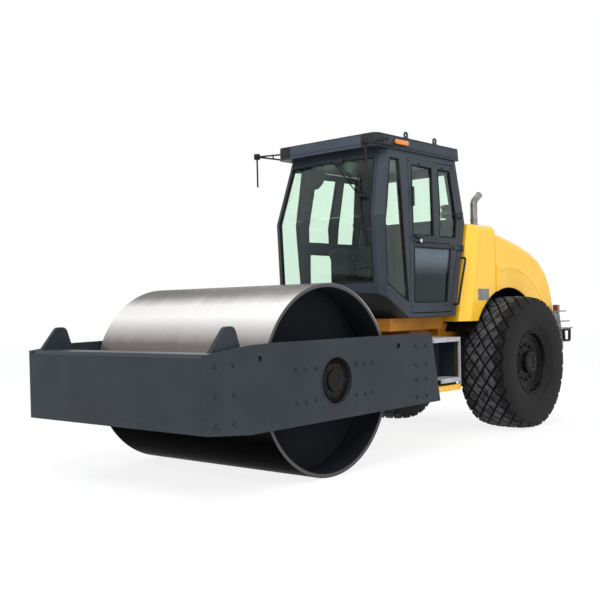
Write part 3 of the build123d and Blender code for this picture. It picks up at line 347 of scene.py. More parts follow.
def tyreRubber(name, look):
    # worn block tops are greyer, the grooves and side walls darker, with dust low in the pattern
    r = newRecipe(name)
    reach = r.reach(*look["axis"])[0]
    crown = r.band(reach, look["radius"] - 0.012, look["radius"] - 0.003)
    cloud = r.noise(0.06, 5.0, rough=0.6)
    fine = r.noise(0.004, 4.0)
    side = r.blend(r.band(cloud, 0.35, 0.7), look["dark"], look["light"])
    worn = r.blend(r.band(cloud, 0.3, 0.65), look["light"], look["worn"])
    dust = r.band(r.noise(0.025, 6.0, rough=0.7), 0.52, 0.8) * 0.14
    tone = r.blend(dust, r.blend(crown * 0.9, side, worn), look["dust"])
    rough = 0.72 + (cloud - 0.5) * 0.16 + dust * 0.2
    return r.finish({"Base Color": tone, "Roughness": rough, "Metallic": 0.0, "Specular IOR Level": 0.25,
                     "Normal": r.bump(0.3, 0.001, fine + cloud * 0.5)})


paneLook = {"tint": "#e9f9ee", "dusty": "#eaf4ee", "bend": 1.45, "gloss": (0.3, 0.34, 0.38, 1)}
glassSet = {
    "glass": paneLook,
    # the left door's lower pane carries a painted reflection of a soft sky over painted shade lower down:
    # heights of its fade and its end, share and colours
    "doorGlass": {**paneLook, "fade": (1.74, 1.99), "end": (2.06, 2.08), "share": 0.42,
                  "ground": "#232c2e", "sky": "#808d9b"},
}


def clearGlass(name, look):
    # tinted pane, clear and glossy, with faint smears
    r = newRecipe(name)
    dusty = r.band(r.noise(0.3, 5.0, (1, 1, 2.5), 0.6), 0.5, 0.8)
    pane = r.node("ShaderNodeBsdfPrincipled", {}, {
        "Base Color": r.blend(dusty * 0.3, look["tint"], look["dusty"]), "Roughness": dusty * 0.03,
        "Metallic": 0.0, "IOR": look["bend"], "Specular Tint": look["gloss"], "Transmission Weight": 1.0})
    # painted reflection on the door pane: a matte layer mixed over the glass, painted sky above and painted
    # shade below
    if "fade" in look:
        height = r.part("Z")
        tone = r.blend(r.band(height, *look["fade"]), look["ground"], look["sky"])
        paintedReflectionLayer = r.node("ShaderNodeBsdfDiffuse", {}, {"Color": tone})
        share = (1 - r.band(height, *look["end"])) * look["share"]
        pane = r.node("ShaderNodeMixShader", {}, {0: share, 1: pane, 2: paintedReflectionLayer})
    r.close(pane)
    return r.owner


lensSet = {
    "orangeLens": {"dark": "#d9730f", "light": "#f59a2a", "grime": "#6a5a4a", "ribs": 40.0},
    "redLens": {"dark": "#5e0f0d", "light": "#8e1d19", "grime": "#6a5a4a", "ribs": 40.0},
}


def lens(name, look):
    # lamp lens: clear colour over a ribbed reflector
    r = newRecipe(name)
    ribs = r.node("ShaderNodeTexWave", {"wave_type": "BANDS", "bands_direction": "Y"},
                  {"Vector": r.place(), "Scale": look["ribs"], "Distortion": 0.0}, out="Fac")
    grime = r.band(r.noise(0.02, 5.0), 0.5, 0.8)
    tone = r.blend(grime * 0.2, r.blend(ribs * 0.5, look["dark"], look["light"]), look["grime"])
    return r.finish({"Base Color": tone, "Roughness": 0.12 + grime * 0.2, "Metallic": 0.0, "Coat Weight": 0.6,
                     "Normal": r.bump(0.4, 0.001, ribs)})


clothSet = {"weave": 260.0, "dark": "#1b1d20", "light": "#292c30", "worn": "#35383c"}


def cover(name, look):
    # woven seat cover
    r = newRecipe(name)
    thread = {"Vector": r.place(), "Scale": look["weave"], "Distortion": 1.5, "Detail": 1.0}
    warp, weft = [r.node("ShaderNodeTexWave", {"bands_direction": way}, thread, out="Fac") for way in "XZ"]
    weave = warp * weft
    cloud = r.noise(0.09, 5.0)
    tone = r.blend(r.band(weave, 0.1, 0.7), look["dark"], look["light"])
    tone = r.blend(r.band(cloud, 0.45, 0.75) * 0.4, tone, look["worn"])
    return r.finish({"Base Color": tone, "Roughness": 0.85 + (cloud - 0.5) * 0.1, "Metallic": 0.0,
                     "Normal": r.bump(0.4, 0.001, weave)})


finishes = [(paint, paintSet), (rolledSteel, {"drumSteel": steelSet}), (plainMetal, metalSet),
            (grained, mouldedSet), (tyreRubber, {"tyre": treadSet}), (clearGlass, glassSet), (lens, lensSet),
            (cover, {"seatCover": clothSet})]
materials = {name: make(name, look) for make, table in finishes for name, look in table.items()}
print("materials made:", len(materials))

# finish of every carried-over CAD node
nodeFinish = {
    "framePaint": ["left_side_plate", "right_side_plate", "front_beam", "nose_ears", "rear_beam", "scrapers"],
    "cabPaint": ["left_door", "right_door", "cab_tub", "cab_frame", "roof", "lifting_eyes"],
    "yellowPaint": ["step_sills", "hood", "cowl"],
    "underPaint": ["chassis_frame", "pivot_bracket", "rear_axle"],
    "boxPaint": ["step_boxes"],
    "blackPaint": ["centre_yoke", "left_barrel", "right_barrel", "mirror_arms",
                   "rear_bumper", "grab_rails", "fuel_tank", "tail_loops", "rear_grille"],
    "drumSteel": ["drum"],
    "pinSteel": ["steer_pin"],
    "rodChrome": ["left_rod", "right_rod"],
    "treadMetal": ["treads"],
    "bracketMetal": ["tail_brackets"],
    "pipeSteel": ["exhaust"],
    "engineIron": ["engine_block"],
    "plastic": ["seat_pedestal", "console", "steering_wheel", "air_cleaner"],
    "rubber": ["cab_mounts"],
    "liner": ["wheel_wells"],
    "tyre": ["left_tyre", "right_tyre"],
    "rimPaint": ["left_rim", "right_rim", "drum_carriers"],
    "glass": ["windscreen", "rear_window", "quarter_windows", "right_door_glass"],
    "doorGlass": ["left_door_glass"],
    "orangeLens": ["roof_lamps"],
    "redLens": ["tail_lamps"],
    "seatCover": ["seat"],
}


def dress(nodeName, materialName):
    slots = nodes[nodeName].data.materials
    slots.clear()
    slots.append(materials[materialName])


for materialName, names in nodeFinish.items():
    for nodeName in names:
        dress(nodeName, materialName)
print("nodes dressed, left over:", sorted(set(nodes) - {n for names in nodeFinish.values() for n in names}))


# mesh tools

sides = ((1, "left"), (-1, "right"))


def turnsOf(count):
    # angles evenly round a circle
    return [2 * math.pi * k / count for k in range(count)]


def sweep(first, last, steps):
    # angles from one to another, given in degrees
    return [math.radians(first + (last - first) * k / steps) for k in range(steps + 1)]


def roundSpots(middle, reach, turns):
    # points at a distance from a middle, in a plane
    return [(middle[0] + reach * math.cos(turn), middle[1] + reach * math.sin(turn)) for turn in turns]


def flipSides(paths):
    # paths and their mirror images on the machine's other side
    return paths + [onSide(-1, path) for path in paths]


def onSide(side, path):
    return [(side * x, y, z) for x, y, z in path]


def toMesh(name, shape):
    mesh = bpy.data.meshes.new(name)
    bmesh.ops.recalc_face_normals(shape, faces=shape.faces)
    shape.to_mesh(mesh)
    shape.free()
    return mesh


def boxShape(low, high, soft=0.003, steps=2):
    # block between two corners with softened edges
    shape = bmesh.new()
    middle = (Vector(low) + Vector(high)) / 2
    size = Vector(high) - Vector(low)
    bmesh.ops.create_cube(shape, size=1.0, matrix=Matrix.Translation(middle) @ Matrix.Diagonal((*size, 1)))
    if soft:
        bmesh.ops.bevel(shape, geom=list(shape.edges), offset=min(soft, min(size) * 0.3), segments=steps,
                        profile=0.6, affect="EDGES")
    return shape


def plateShape(outline, axis, start, end, soft):
    # flat outline carried along one axis; outline holds the other two coordinates in their usual order
    shape = bmesh.new()
    order = "XYZ".index(axis)
    first, last = [[shape.verts.new((*spot[:order], level, *spot[order:])) for spot in outline]
                   for level in (start, end)]
    shape.faces.new(first)
    shape.faces.new(last)
    for k in range(len(outline)):
        n = (k + 1) % len(outline)
        shape.faces.new((first[k], first[n], last[n], last[k]))
    bmesh.ops.recalc_face_normals(shape, faces=shape.faces)
    if soft:
        sharp = [e for e in shape.edges if e.calc_face_angle(0) > 0.6]
        bmesh.ops.bevel(shape, geom=sharp, offset=soft, segments=2, profile=0.6, affect="EDGES")
    return shape


def latheShape(profile, centre, around, steps):
    # closed profile of (along, radius) turned round an axis
    shape = bmesh.new()
    rings = []
    for turn in turnsOf(steps):
        c, s = math.cos(turn), math.sin(turn)
        ring = []
        for along, radius in profile:
            spot = {"X": (along, radius * c, radius * s), "Y": (radius * s, along, radius * c),
                    "Z": (radius * c, radius * s, along)}[around]
            ring.append(shape.verts.new(Vector(centre) + Vector(spot)))
        rings.append(ring)
    for k in range(steps):
        here, there = rings[k], rings[(k + 1) % steps]
        for j in range(len(profile)):
            n = (j + 1) % len(profile)
            shape.faces.new((here[j], here[n], there[n], there[j]))
    bmesh.ops.remove_doubles(shape, verts=shape.verts, dist=1e-6)
    return shape


def joinShapes(shapes):
    whole = bmesh.new()
    for shape in shapes:
        held = toMesh("held", shape)
        whole.from_mesh(held)
        bpy.data.meshes.remove(held)
    return whole


def flipShape(shape):
    bmesh.ops.scale(shape, verts=shape.verts, vec=(-1, 1, 1))
    return shape


def mirrorShape(shape):
    # the shape and its copy on the machine's other side
    return joinShapes([shape, flipShape(shape.copy())])


def addPiece(name, mesh, materialName, body, replaced=(), smooth=35):
    # from a plain mesh, a shape or a list of shapes
    if isinstance(mesh, list):
        mesh = joinShapes(mesh)
    if isinstance(mesh, bmesh.types.BMesh):
        mesh = toMesh(name, mesh)
    mesh.materials.clear()
    mesh.materials.append(materials[materialName])
    mesh.polygons.foreach_set("material_index", [0] * len(mesh.polygons))
    mesh.polygons.foreach_set("use_smooth", [True] * len(mesh.polygons))
    mesh.set_sharp_from_angle(angle=math.radians(smooth))
    piece = bpy.data.objects.new(name, mesh)
    scene.collection.objects.link(piece)
    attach(piece, body)
    if replaced:
        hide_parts(*replaced)
    return piece


# repeating trees

socketKinds = {
    "Count": "Int", "Seed": "Int", "Sides": "Int", "Radius": "Float", "Height": "Float", "Washer": "Float",
    "Bend": "Float", "Centre": "Vector", "Step": "Vector", "Material": "Material",
}


class Bench:
    # makes one geometry tree with named inputs, and adds and links its nodes
    def __init__(self, name, **inputs):
        self.tree = bpy.data.node_groups.new(name, "GeometryNodeTree")
        face = self.tree.interface
        face.new_socket("Geometry", in_out="INPUT", socket_type="NodeSocketGeometry")
        for label, value in inputs.items():
            made = face.new_socket(label, in_out="INPUT", socket_type="NodeSocket" + socketKinds[label])
            if value is not None:
                made.default_value = value
        face.new_socket("Geometry", in_out="OUTPUT", socket_type="NodeSocketGeometry")
        self.given = self.tree.nodes.new("NodeGroupInput")

    def add(self, kind, settings=None, sockets=None):
        made = self.tree.nodes.new(kind)
        for key, value in (settings or {}).items():
            setattr(made, key, value)
        for key, value in (sockets or {}).items():
            if isinstance(value, bpy.types.NodeSocket):
                self.tree.links.new(value, made.inputs[key])
            else:
                made.inputs[key].default_value = value
        return made.outputs

    def maths(self, left, right, operation="MULTIPLY"):
        return self.add("ShaderNodeMath", {"operation": operation}, {0: left, 1: right})[0]

    def give(self, label):
        return self.given.outputs[label]

    def move(self, geometry, way):
        return self.add("GeometryNodeTransform", {}, {"Geometry": geometry, "Translation": way})["Geometry"]

    def close(self, geometry):
        whole = self.add("GeometryNodeRealizeInstances", {}, {"Geometry": geometry})["Geometry"]
        given = {"Geometry": whole, "Material": self.give("Material")}
        whole = self.add("GeometryNodeSetMaterial", {}, given)["Geometry"]
        self.add("NodeGroupOutput", {}, {"Geometry": whole})
        return self.tree

    def copies(self, **given):
        return self.add("GeometryNodeInstanceOnPoints", {}, given)["Instances"]


def ringTree():
    # copies of a shape round an axis along X
    b = Bench("ringCopies", Count=12, Centre=None, Material=None)
    centre = b.give("Centre")
    back = b.add("ShaderNodeVectorMath", {"operation": "SCALE"}, {0: centre, "Scale": -1.0})["Vector"]
    shape = b.move(b.give("Geometry"), back)
    points = b.add("GeometryNodePoints", {}, {"Count": b.give("Count")})[0]
    index = b.add("GeometryNodeInputIndex")["Index"]
    turn = b.maths(b.maths(index, b.give("Count"), "DIVIDE"), 2 * math.pi)
    spin = b.add("ShaderNodeCombineXYZ", {}, {"X": turn})["Vector"]
    copies = b.copies(Points=points, Instance=shape, Rotation=spin)
    whole = b.add("GeometryNodeRealizeInstances", {}, {"Geometry": copies})["Geometry"]
    return b.close(b.move(whole, centre))


def rowTree():
    # copies of a shape in a straight row
    b = Bench("rowCopies", Count=5, Step=None, Material=None)
    index = b.add("GeometryNodeInputIndex")["Index"]
    scale = {"operation": "SCALE"}
    place = b.add("ShaderNodeVectorMath", scale, {0: b.give("Step"), "Scale": index})["Vector"]
    points = b.add("GeometryNodePoints", {}, {"Count": b.give("Count"), "Position": place})[0]
    return b.close(b.copies(Points=points, Instance=b.give("Geometry")))


def boltTree():
    # hexagon heads on washers at the given points, each turned by chance about its own axis
    b = Bench("boltField", Radius=0.012, Height=0.01, Washer=1.5, Seed=3, Material=None)
    radius, height = b.give("Radius"), b.give("Height")
    rod = {"fill_type": "NGON"}
    head = b.add("GeometryNodeMeshCylinder", rod, {"Vertices": 6, "Radius": radius, "Depth": height})["Mesh"]
    wide, thin = b.maths(radius, b.give("Washer")), b.maths(height, 0.3)
    washer = b.add("GeometryNodeMeshCylinder", rod, {"Vertices": 20, "Radius": wide, "Depth": thin})["Mesh"]
    raised = b.add("ShaderNodeCombineXYZ", {}, {"Z": b.maths(height, 0.7)})["Vector"]
    both = b.tree.nodes.new("GeometryNodeJoinGeometry")
    b.tree.links.new(b.move(head, raised), both.inputs[0])
    b.tree.links.new(washer, both.inputs[0])
    facing = b.add("GeometryNodeInputNamedAttribute", {"data_type": "FLOAT_VECTOR"}, {"Name": "facing"})[0]
    aim = b.add("FunctionNodeAlignRotationToVector", {"axis": "Z"}, {"Vector": facing})["Rotation"]
    # 2 and 3 are the least and the most of a decimal draw; a hexagon repeats every sixth of a turn
    draw = {2: 0.0, 3: 1.047, "Seed": b.give("Seed")}
    chance = b.add("FunctionNodeRandomValue", {"data_type": "FLOAT"}, draw)[1]
    spin = b.add("ShaderNodeCombineXYZ", {}, {"Z": chance})["Vector"]
    turned = b.add("FunctionNodeRotateRotation", {"rotation_space": "LOCAL"}, {0: aim, 1: spin})["Rotation"]
    return b.close(b.copies(Points=b.give("Geometry"), Instance=both.outputs[0], Rotation=turned))


def pipeTree():
    # round bar or seal along an edge path, its corners bent to a radius
    b = Bench("pipeAlong", Radius=0.01, Bend=0.0, Sides=12, Material=None)
    path = b.add("GeometryNodeMeshToCurve", {}, {"Mesh": b.give("Geometry")})["Curve"]
    path = b.add("GeometryNodeFilletCurve", {"mode": "POLY"},
                 {"Curve": path, "Radius": b.give("Bend"), "Count": 8, "Limit Radius": True})["Curve"]
    ring = b.add("GeometryNodeCurvePrimitiveCircle", {"mode": "RADIUS"},
                 {"Resolution": b.give("Sides"), "Radius": b.give("Radius")})["Curve"]
    given = {"Curve": path, "Profile Curve": ring, "Fill Caps": True}
    return b.close(b.add("GeometryNodeCurveToMesh", {}, given)["Mesh"])


trees = {"ring": ringTree(), "row": rowTree(), "bolts": boltTree(), "pipe": pipeTree()}


def runTree(name, treeName, mesh, materialName, **inputs):
    # evaluates a tree on a mesh and gives the plain mesh back
    if isinstance(mesh, bmesh.types.BMesh):
        mesh = toMesh(name + "Source", mesh)
    source = bpy.data.objects.new(name + "Source", mesh)
    scene.collection.objects.link(source)
    modifier = source.modifiers.new(treeName, "NODES")
    modifier.node_group = trees[treeName]
    items = trees[treeName].interface.items_tree
    sockets = {item.name: item.identifier for item in items if item.in_out == "INPUT"}
    modifier[sockets["Material"]] = materials[materialName]
    for label, value in inputs.items():
        modifier[sockets[label]] = value
    graph = bpy.context.evaluated_depsgraph_get()
    result = bpy.data.meshes.new_from_object(source.evaluated_get(graph), depsgraph=graph)
    bpy.data.objects.remove(source)
    result.name = name
    return result


def pointMesh(name, spots):
    # points with the way each one faces
    mesh = bpy.data.meshes.new(name)
    mesh.from_pydata([spot for spot, facing in spots], [], [])
    facings = mesh.attributes.new("facing", "FLOAT_VECTOR", "POINT")
    facings.data.foreach_set("vector", [part for spot, facing in spots for part in facing])
    return mesh


def pathMesh(name, paths, closed=False):
    points, edges = [], []
    for path in paths:
        first = len(points)
        points += path
        edges += [(first + k, first + k + 1) for k in range(len(path) - 1)]
        if closed:
            edges.append((first + len(path) - 1, first))
    mesh = bpy.data.meshes.new(name)
    mesh.from_pydata(points, edges, [])
    return mesh


def meshOf(meshes):
    # several plain meshes as one shape
    whole = bmesh.new()
    for mesh in meshes:
        whole.from_mesh(mesh)
    return whole


def pipePiece(name, paths, radius, materialName, body, closed=False, bend=0.0, sides=10):
    path = pathMesh(name, paths, closed)
    mesh = runTree(name, "pipe", path, materialName, Radius=radius, Bend=bend, Sides=sides)
    addPiece(name, mesh, materialName, body, smooth=40)


def boltPiece(name, spots, body, size, materialName="blackPaint", washer=1.5, both=False):
    # bolts at (place, facing) pairs, on both sides of the machine when asked
    if both:
        spots = spots + [onSide(-1, pair) for pair in spots]
    mesh = runTree(name, "bolts", pointMesh(name, spots), materialName,
                   Radius=size[0], Height=size[1], Washer=washer, Seed=7)
    addPiece(name, mesh, materialName, body)


print("tools ready")


# tyres

tyreSet = {
    "middle": 0.876, "axle": (1.8, 0.77), "radius": 0.7695,
    "round": 26,            # blocks round the tread
    "columns": 7, "half": 0.07, "depth": 0.026, "groove": 0.011, "drop": 0.026,
    "levels": ((0.028, 0.0), (0.007, 0.88), (0.002, 1.12), (0.0, 1.55)),     # depth, share of the gap
    # rounded toe of an edge block: across, radius, share of the pitch; then its foot
    "toe": ((0.2895, 0.712, 0.80), (0.2945, 0.690, 0.62), (0.2960, 0.676, 0.34)), "foot": (0.284, 0.690, 0.7),
    # side wall from shoulder to bead, (distance from the middle, radius)
    "wall": [(0.280, 0.718), (0.290, 0.694), (0.2965, 0.668), (0.299, 0.640), (0.2998, 0.610),
             (0.2995, 0.580), (0.2985, 0.550), (0.2968, 0.520), (0.2935, 0.492), (0.288, 0.466),
             (0.2885, 0.462), (0.286, 0.452), (0.280, 0.446), (0.272, 0.425), (0.264, 0.404),
             (0.256, 0.386), (0.248, 0.372), (0.240, 0.362)],
}


def crownAt(x, look):
    shoulder = look["half"] * (look["columns"] + 1) / 2
    return look["radius"] - look["drop"] * abs(x / shoulder) ** 3


def treadSpot(x, radius, angle):
    return Vector((x, radius * math.cos(angle), radius * math.sin(angle)))


def addBlock(shape, x, angle, look):
    # one diamond with sloping sides, a rounded edge and a crowned top; the edge columns have half diamonds
    pitch = math.pi / look["round"]
    edge = look["half"] * (look["columns"] + 1) / 2
    full = abs(x) < edge - 0.001
    inward = -math.copysign(1, x)
    ways = [(1, 0), (0, 1), (-1, 0), (0, -1)] if full else [(inward, 0), (0, 1), (0, -1)]
    levels = []
    for drop, gap in look["levels"]:
        ring = []
        for across, along in ways:
            farX = x + across * (look["half"] - look["groove"] * 1.4 * gap)
            farAngle = angle + along * (pitch - look["groove"] * 1.6 * gap / look["radius"])
            ring.append(shape.verts.new(treadSpot(farX, crownAt(farX, look) - drop, farAngle)))
        levels.append(ring)
    count = len(ways)
    for low, high in zip(levels, levels[1:]):
        for k in range(count):
            n = (k + 1) % count
            shape.faces.new((low[k], low[n], high[n], high[k]))
    if full:
        top = shape.verts.new(treadSpot(x, crownAt(x, look), angle))
        for k in range(count):
            shape.faces.new((levels[-1][k], levels[-1][(k + 1) % count], top))
    else:
        shape.faces.new(levels[-1])
        addShoulder(shape, x, angle, [ring[1:] for ring in levels], look)


def addShoulder(shape, x, angle, edges, look):
    # outer face of a half diamond, drawn down over the shoulder to a rounded toe
    sign = math.copysign(1, x)
    pitch = math.pi / look["round"]
    toe = []
    for out, radius, spread in look["toe"]:
        toe.append([shape.verts.new(treadSpot(sign * out, radius, angle + way * pitch * spread))
                    for way in (1, -1)])
    chain = [edges[-1]] + toe
    for above, below in zip(chain, chain[1:]):
        shape.faces.new((above[0], above[1], below[1], below[0]))
    for side in (0, 1):
        rim = [ring[side] for ring in edges] + [pair[side] for pair in toe]
        out, radius, spread = look["foot"]
        foot = shape.verts.new(treadSpot(sign * out, radius, angle + (1, -1)[side] * pitch * spread))
        for a, b in zip(rim, rim[1:]):
            shape.faces.new((a, b, foot))


def tyreMesh(look):
    sector = bmesh.new()
    edge = (look["columns"] + 1) // 2
    for column in range(-edge, edge + 1):
        addBlock(sector, column * look["half"], math.pi / look["round"] * (column % 2), look)
    bmesh.ops.recalc_face_normals(sector, faces=sector.faces)
    tread = runTree("tread", "ring", sector, "tyre", Count=look["round"], Centre=(0.0, 0.0, 0.0))
    steps = 5
    span = look["wall"][0][0]
    crown = [(span * k / steps, crownAt(span * k / steps, look) - look["depth"]) for k in range(steps)]
    half = crown + look["wall"]
    outer = [(-x, r) for x, r in reversed(half)][:-1] + half
    bead = look["wall"][-1]
    liner = [(bead[0] - 0.001, bead[1] + 0.02), (-bead[0] + 0.001, bead[1] + 0.02)]
    casing = latheShape(outer + liner, (0, 0, 0), "X", look["round"] * 6)
    casing.from_mesh(tread)
    return casing


for side, name in sides:
    whole = tyreMesh(tyreSet)
    bmesh.ops.translate(whole, verts=whole.verts, vec=(side * tyreSet["middle"], *tyreSet["axle"]))
    addPiece(name + "Tyre", whole, "tyre", name + "_wheel", [name + "_tyre"], 32)
print("tyres made")


# rims and hubs

rimSet = {
    "centre": (0.876, 1.8, 0.77),
    # barrel, flanges, dished disc and hub, (distance outwards from the wheel's middle, radius)
    "profile": [
        (0.250, 0.3585), (0.250, 0.346), (0.243, 0.340), (0.225, 0.336), (0.190, 0.330), (0.184, 0.322),
        (0.180, 0.300), (0.178, 0.270), (0.172, 0.248), (0.168, 0.230), (0.168, 0.172), (0.173, 0.162),
        (0.180, 0.150), (0.182, 0.134), (0.186, 0.130), (0.228, 0.128), (0.236, 0.122), (0.240, 0.112),
        (0.240, 0.070), (0.232, 0.064), (0.232, 0.0), (0.212, 0.0), (0.212, 0.080), (-0.090, 0.0802),
        (-0.090, 0.129), (0.150, 0.130), (0.156, 0.140), (0.156, 0.324), (0.148, 0.334), (-0.249, 0.335),
        (-0.249, 0.3585), (-0.215, 0.3585), (-0.195, 0.348), (0.195, 0.348), (0.215, 0.3585),
    ],
    # count, pitch radius, size, height, face that they sit on
    "nuts": (12, 0.203, 0.016, 0.020, 0.168), "capBolts": (8, 0.092, 0.008, 0.008, 0.240),
    "washer": 1.35,
}


def rimPiece(side, name, look):
    centre = Vector((side * look["centre"][0], *look["centre"][1:]))
    disc = latheShape([(side * x, r) for x, r in look["profile"]], centre, "X", 96)
    addPiece(name + "Rim", disc, "rimPaint", name + "_wheel", [name + "_rim"], 30)
    for label in ("nuts", "capBolts"):
        count, circle, size, height, face = look[label]
        spot = centre + Vector((side * (face + height * 0.15), circle, 0))      # washer half sunk
        head = runTree(label, "bolts", pointMesh(label, [(spot, (side, 0, 0))]), "blackPaint",
                       Radius=size, Height=height, Washer=look["washer"], Seed=2)
        ring = runTree(label, "ring", head, "blackPaint", Count=count, Centre=centre)
        addPiece(name + label[0].upper() + label[1:], ring, "blackPaint", name + "_wheel")


for side, name in sides:
    rimPiece(side, name, rimSet)
print("rims made")


# drum frame

plateSet = {
    # y and z of the bolts on the side plate: front, port, rear
    "bolts": [(y, z) for y in (-3.21, -3.025) for z in (1.045, 0.82, 0.60)]
    + [(y, z) for z in (0.958, 0.690) for y in (-2.32, -2.20, -2.08, -1.53, -1.41, -1.29)]
    + [(y, z) for y in (-0.61, -0.44) for z in (1.07, 0.89, 0.75, 0.585)],
    "boltFace": 1.166, "bolt": (0.0145, 0.0085),
    # round the drum's axle, with (along X, radius): lip of the service port, a dark disc that is painted
    # shade in the port's hollow, stepped hub cap
    "axle": (0, -1.81, 0.835),
    "port": [("portRings", "framePaint", 72, [(1.161, 0.199), (1.169, 0.199), (1.170, 0.2048), (1.169, 0.212),
                                              (1.161, 0.212)]),
             ("portShadeDisc", "liner", 56, [(1.1232, 0.0), (1.1232, 0.186), (1.126, 0.186), (1.126, 0.0)]),
             ("portCaps", "rimPaint", 56, [(1.125, 0.0), (1.125, 0.150), (1.131, 0.148), (1.132, 0.098),
                                           (1.150, 0.094), (1.152, 0.060), (1.147, 0.056), (1.147, 0.0)])],
    "capBolts": (8, 0.123, 1.132), "capBolt": (0.010, 0.008),       # count, pitch radius, face
    # y and z of the lashing holes, and the lip rolled round each
    "lashSpots": [(-2.747, 1.068), (-0.902, 1.086)],
    "lashLip": [(1.163, 0.028), (1.168, 0.028), (1.169, 0.032), (1.167, 0.039), (1.163, 0.040)],
    # beads between the front beam, the ears and the side plates
    "welds": [[(1.1225, -3.046, 0.56), (1.1225, -3.046, 1.134)],
              [(1.083, -3.046, 1.1345), (1.083, -3.222, 1.1345)],
              [(1.1225, -0.372, 0.56), (1.1225, -0.372, 1.078)]],
    "weldRadius": 0.007,
}


def plateTrim(look):
    # bolts, the turned lip round each service port, the stub housing seen through it, lashing holes, welds
    spots = [((look["boltFace"], y, z), (1, 0, 0)) for y, z in look["bolts"]]
    boltPiece("plateBolts", spots, "drum_frame", look["bolt"], "framePaint", both=True)
    # the middle port piece is a dark disc: painted shade of the hollow behind the port
    for name, materialName, steps, profile in look["port"]:
        addPiece(name, mirrorShape(latheShape(profile, look["axle"], "X", steps)), materialName, "drum_frame")
    count, reach, face = look["capBolts"]
    spots = [((face, y, z), (1, 0, 0)) for y, z in roundSpots(look["axle"][1:], reach, turnsOf(count))]
    boltPiece("portBolts", spots, "drum_frame", look["capBolt"], both=True)
    rings = [latheShape(look["lashLip"], (0, y, z), "X", 32) for y, z in look["lashSpots"]]
    addPiece("lashRings", mirrorShape(joinShapes(rings)), "framePaint", "drum_frame")
    welds = runTree("frameWelds", "pipe", pathMesh("frameWelds", flipSides(look["welds"])), "framePaint",
                    Radius=look["weldRadius"], Bend=0.0, Sides=8)
    addPiece("frameWelds", welds, "framePaint", "drum_frame")


plateTrim(plateSet)
print("drum frame made")


# cab: seals, handles, wiper, roof

cabSet = {
    # height, half width, corner y, front y of the cab's outside
    "sections": [(1.335, 0.730, -0.445, -0.560), (2.370, 0.730, -0.490, -0.640),
                 (3.062, 0.653, -0.295, -0.410)],
    "cut": 0.066,
    "waist": 2.370, "leanIn": 0.1113,
    "screen": [(0.615, 1.705), (0.615, 2.370), (0.549, 2.966)],
    "rearWindow": [(0.560, 2.420), (0.503, 2.930)],
    "rear": [(1.335, 0.834), (2.370, 1.058), (3.062, 1.006)],
    "quarter": [(-0.452, 1.690), (-0.472, 2.310), (-0.283, 2.966), (-0.126, 2.966), (-0.170, 2.370),
                (-0.095, 1.500)],
    "doorPanes": [
        [(0.010, 2.195), (0.010, 2.370), (0.091, 2.930), (0.465, 2.930), (0.388, 2.370), (0.390, 2.195)],
        [(0.510, 2.195), (0.586, 2.930), (0.826, 2.930), (0.851, 2.401), (0.820, 2.195)],
        [(0.010, 1.492), (0.030, 2.067), (0.725, 2.067), (0.630, 1.492)],
    ],
    "seal": 0.009, "lining": 0.013,
    # how far inside the glass the outer seals, the inner linings and the doors' two seals lie
    "sealIn": 0.004, "liningIn": 0.034, "doorSealIn": (0.003, 0.025),
}


def between(rows, z, column):
    # value of one column at a height, straight between the rows
    for low, high in zip(rows, rows[1:]):
        if z <= high[0] or high is rows[-1]:
            share = (z - low[0]) / (high[0] - low[0])
            return low[column] + (high[column] - low[column]) * share


def screenSpot(x, z, look, out):
    # point on the bowed front of the cab
    half = between(look["sections"], z, 1) - look["cut"]
    corner = between(look["sections"], z, 2) - look["cut"]
    front = between(look["sections"], z, 3)
    sag = corner - front
    radius = (half * half + sag * sag) / (2 * sag)
    return (x, front + radius - math.sqrt(radius * radius - x * x) - out, z)


def sideSpot(y, z, look, out=0.0):
    return (between(look["sections"], z, 1) + out, y, z)


def rearSpot(x, z, look, out):
    return (x, between(look["rear"], z, 1) + out, z)


def runAlong(corners, spot, pieces):
    # outline with extra points along each run, set on a surface
    path = []
    for k, (a, b) in enumerate(corners):
        c, d = corners[(k + 1) % len(corners)]
        path += [spot(a + (c - a) * j / pieces, b + (d - b) * j / pieces) for j in range(pieces)]
    return path


def bothHalves(outline):
    return outline + [(-x, z) for x, z in reversed(outline)]


def leanIn(shape, look):
    # everything above the waist follows the cab's leaning side
    for vert in shape.verts:
        rise = max(0.0, vert.co.z - look["waist"])
        vert.co.x -= math.copysign(look["leanIn"] * rise, vert.co.x)
    return shape


def cabSeals(look):
    # rubber round every pane, outside and inside
    near, deep = -look["sealIn"], -look["liningIn"]
    screen = runAlong(bothHalves(look["screen"]), lambda x, z: screenSpot(x, z, look, near), 12)
    rear = runAlong(bothHalves(look["rearWindow"]), lambda x, z: rearSpot(x, z, look, near), 4)
    quarter = runAlong(look["quarter"], lambda y, z: sideSpot(y, z, look, near), 4)
    quarterDeep = runAlong(look["quarter"], lambda y, z: sideSpot(y, z, look, deep), 4)
    pipePiece("cabSeals", [screen, rear] + flipSides([quarter]), look["seal"], "rubber", "chassis", True)
    pipePiece("cabLinings", flipSides([quarterDeep]), look["lining"], "rubber", "chassis", True)
    for side, name in sides:
        runs = [onSide(side, runAlong(pane, lambda y, z: sideSpot(y, z, look, -gap), 3))
                for gap in look["doorSealIn"] for pane in look["doorPanes"]]
        pipePiece(name + "DoorSeals", runs, look["seal"], "rubber", name + "_door", True)


cabSeals(cabSet)
print("cab seals made")

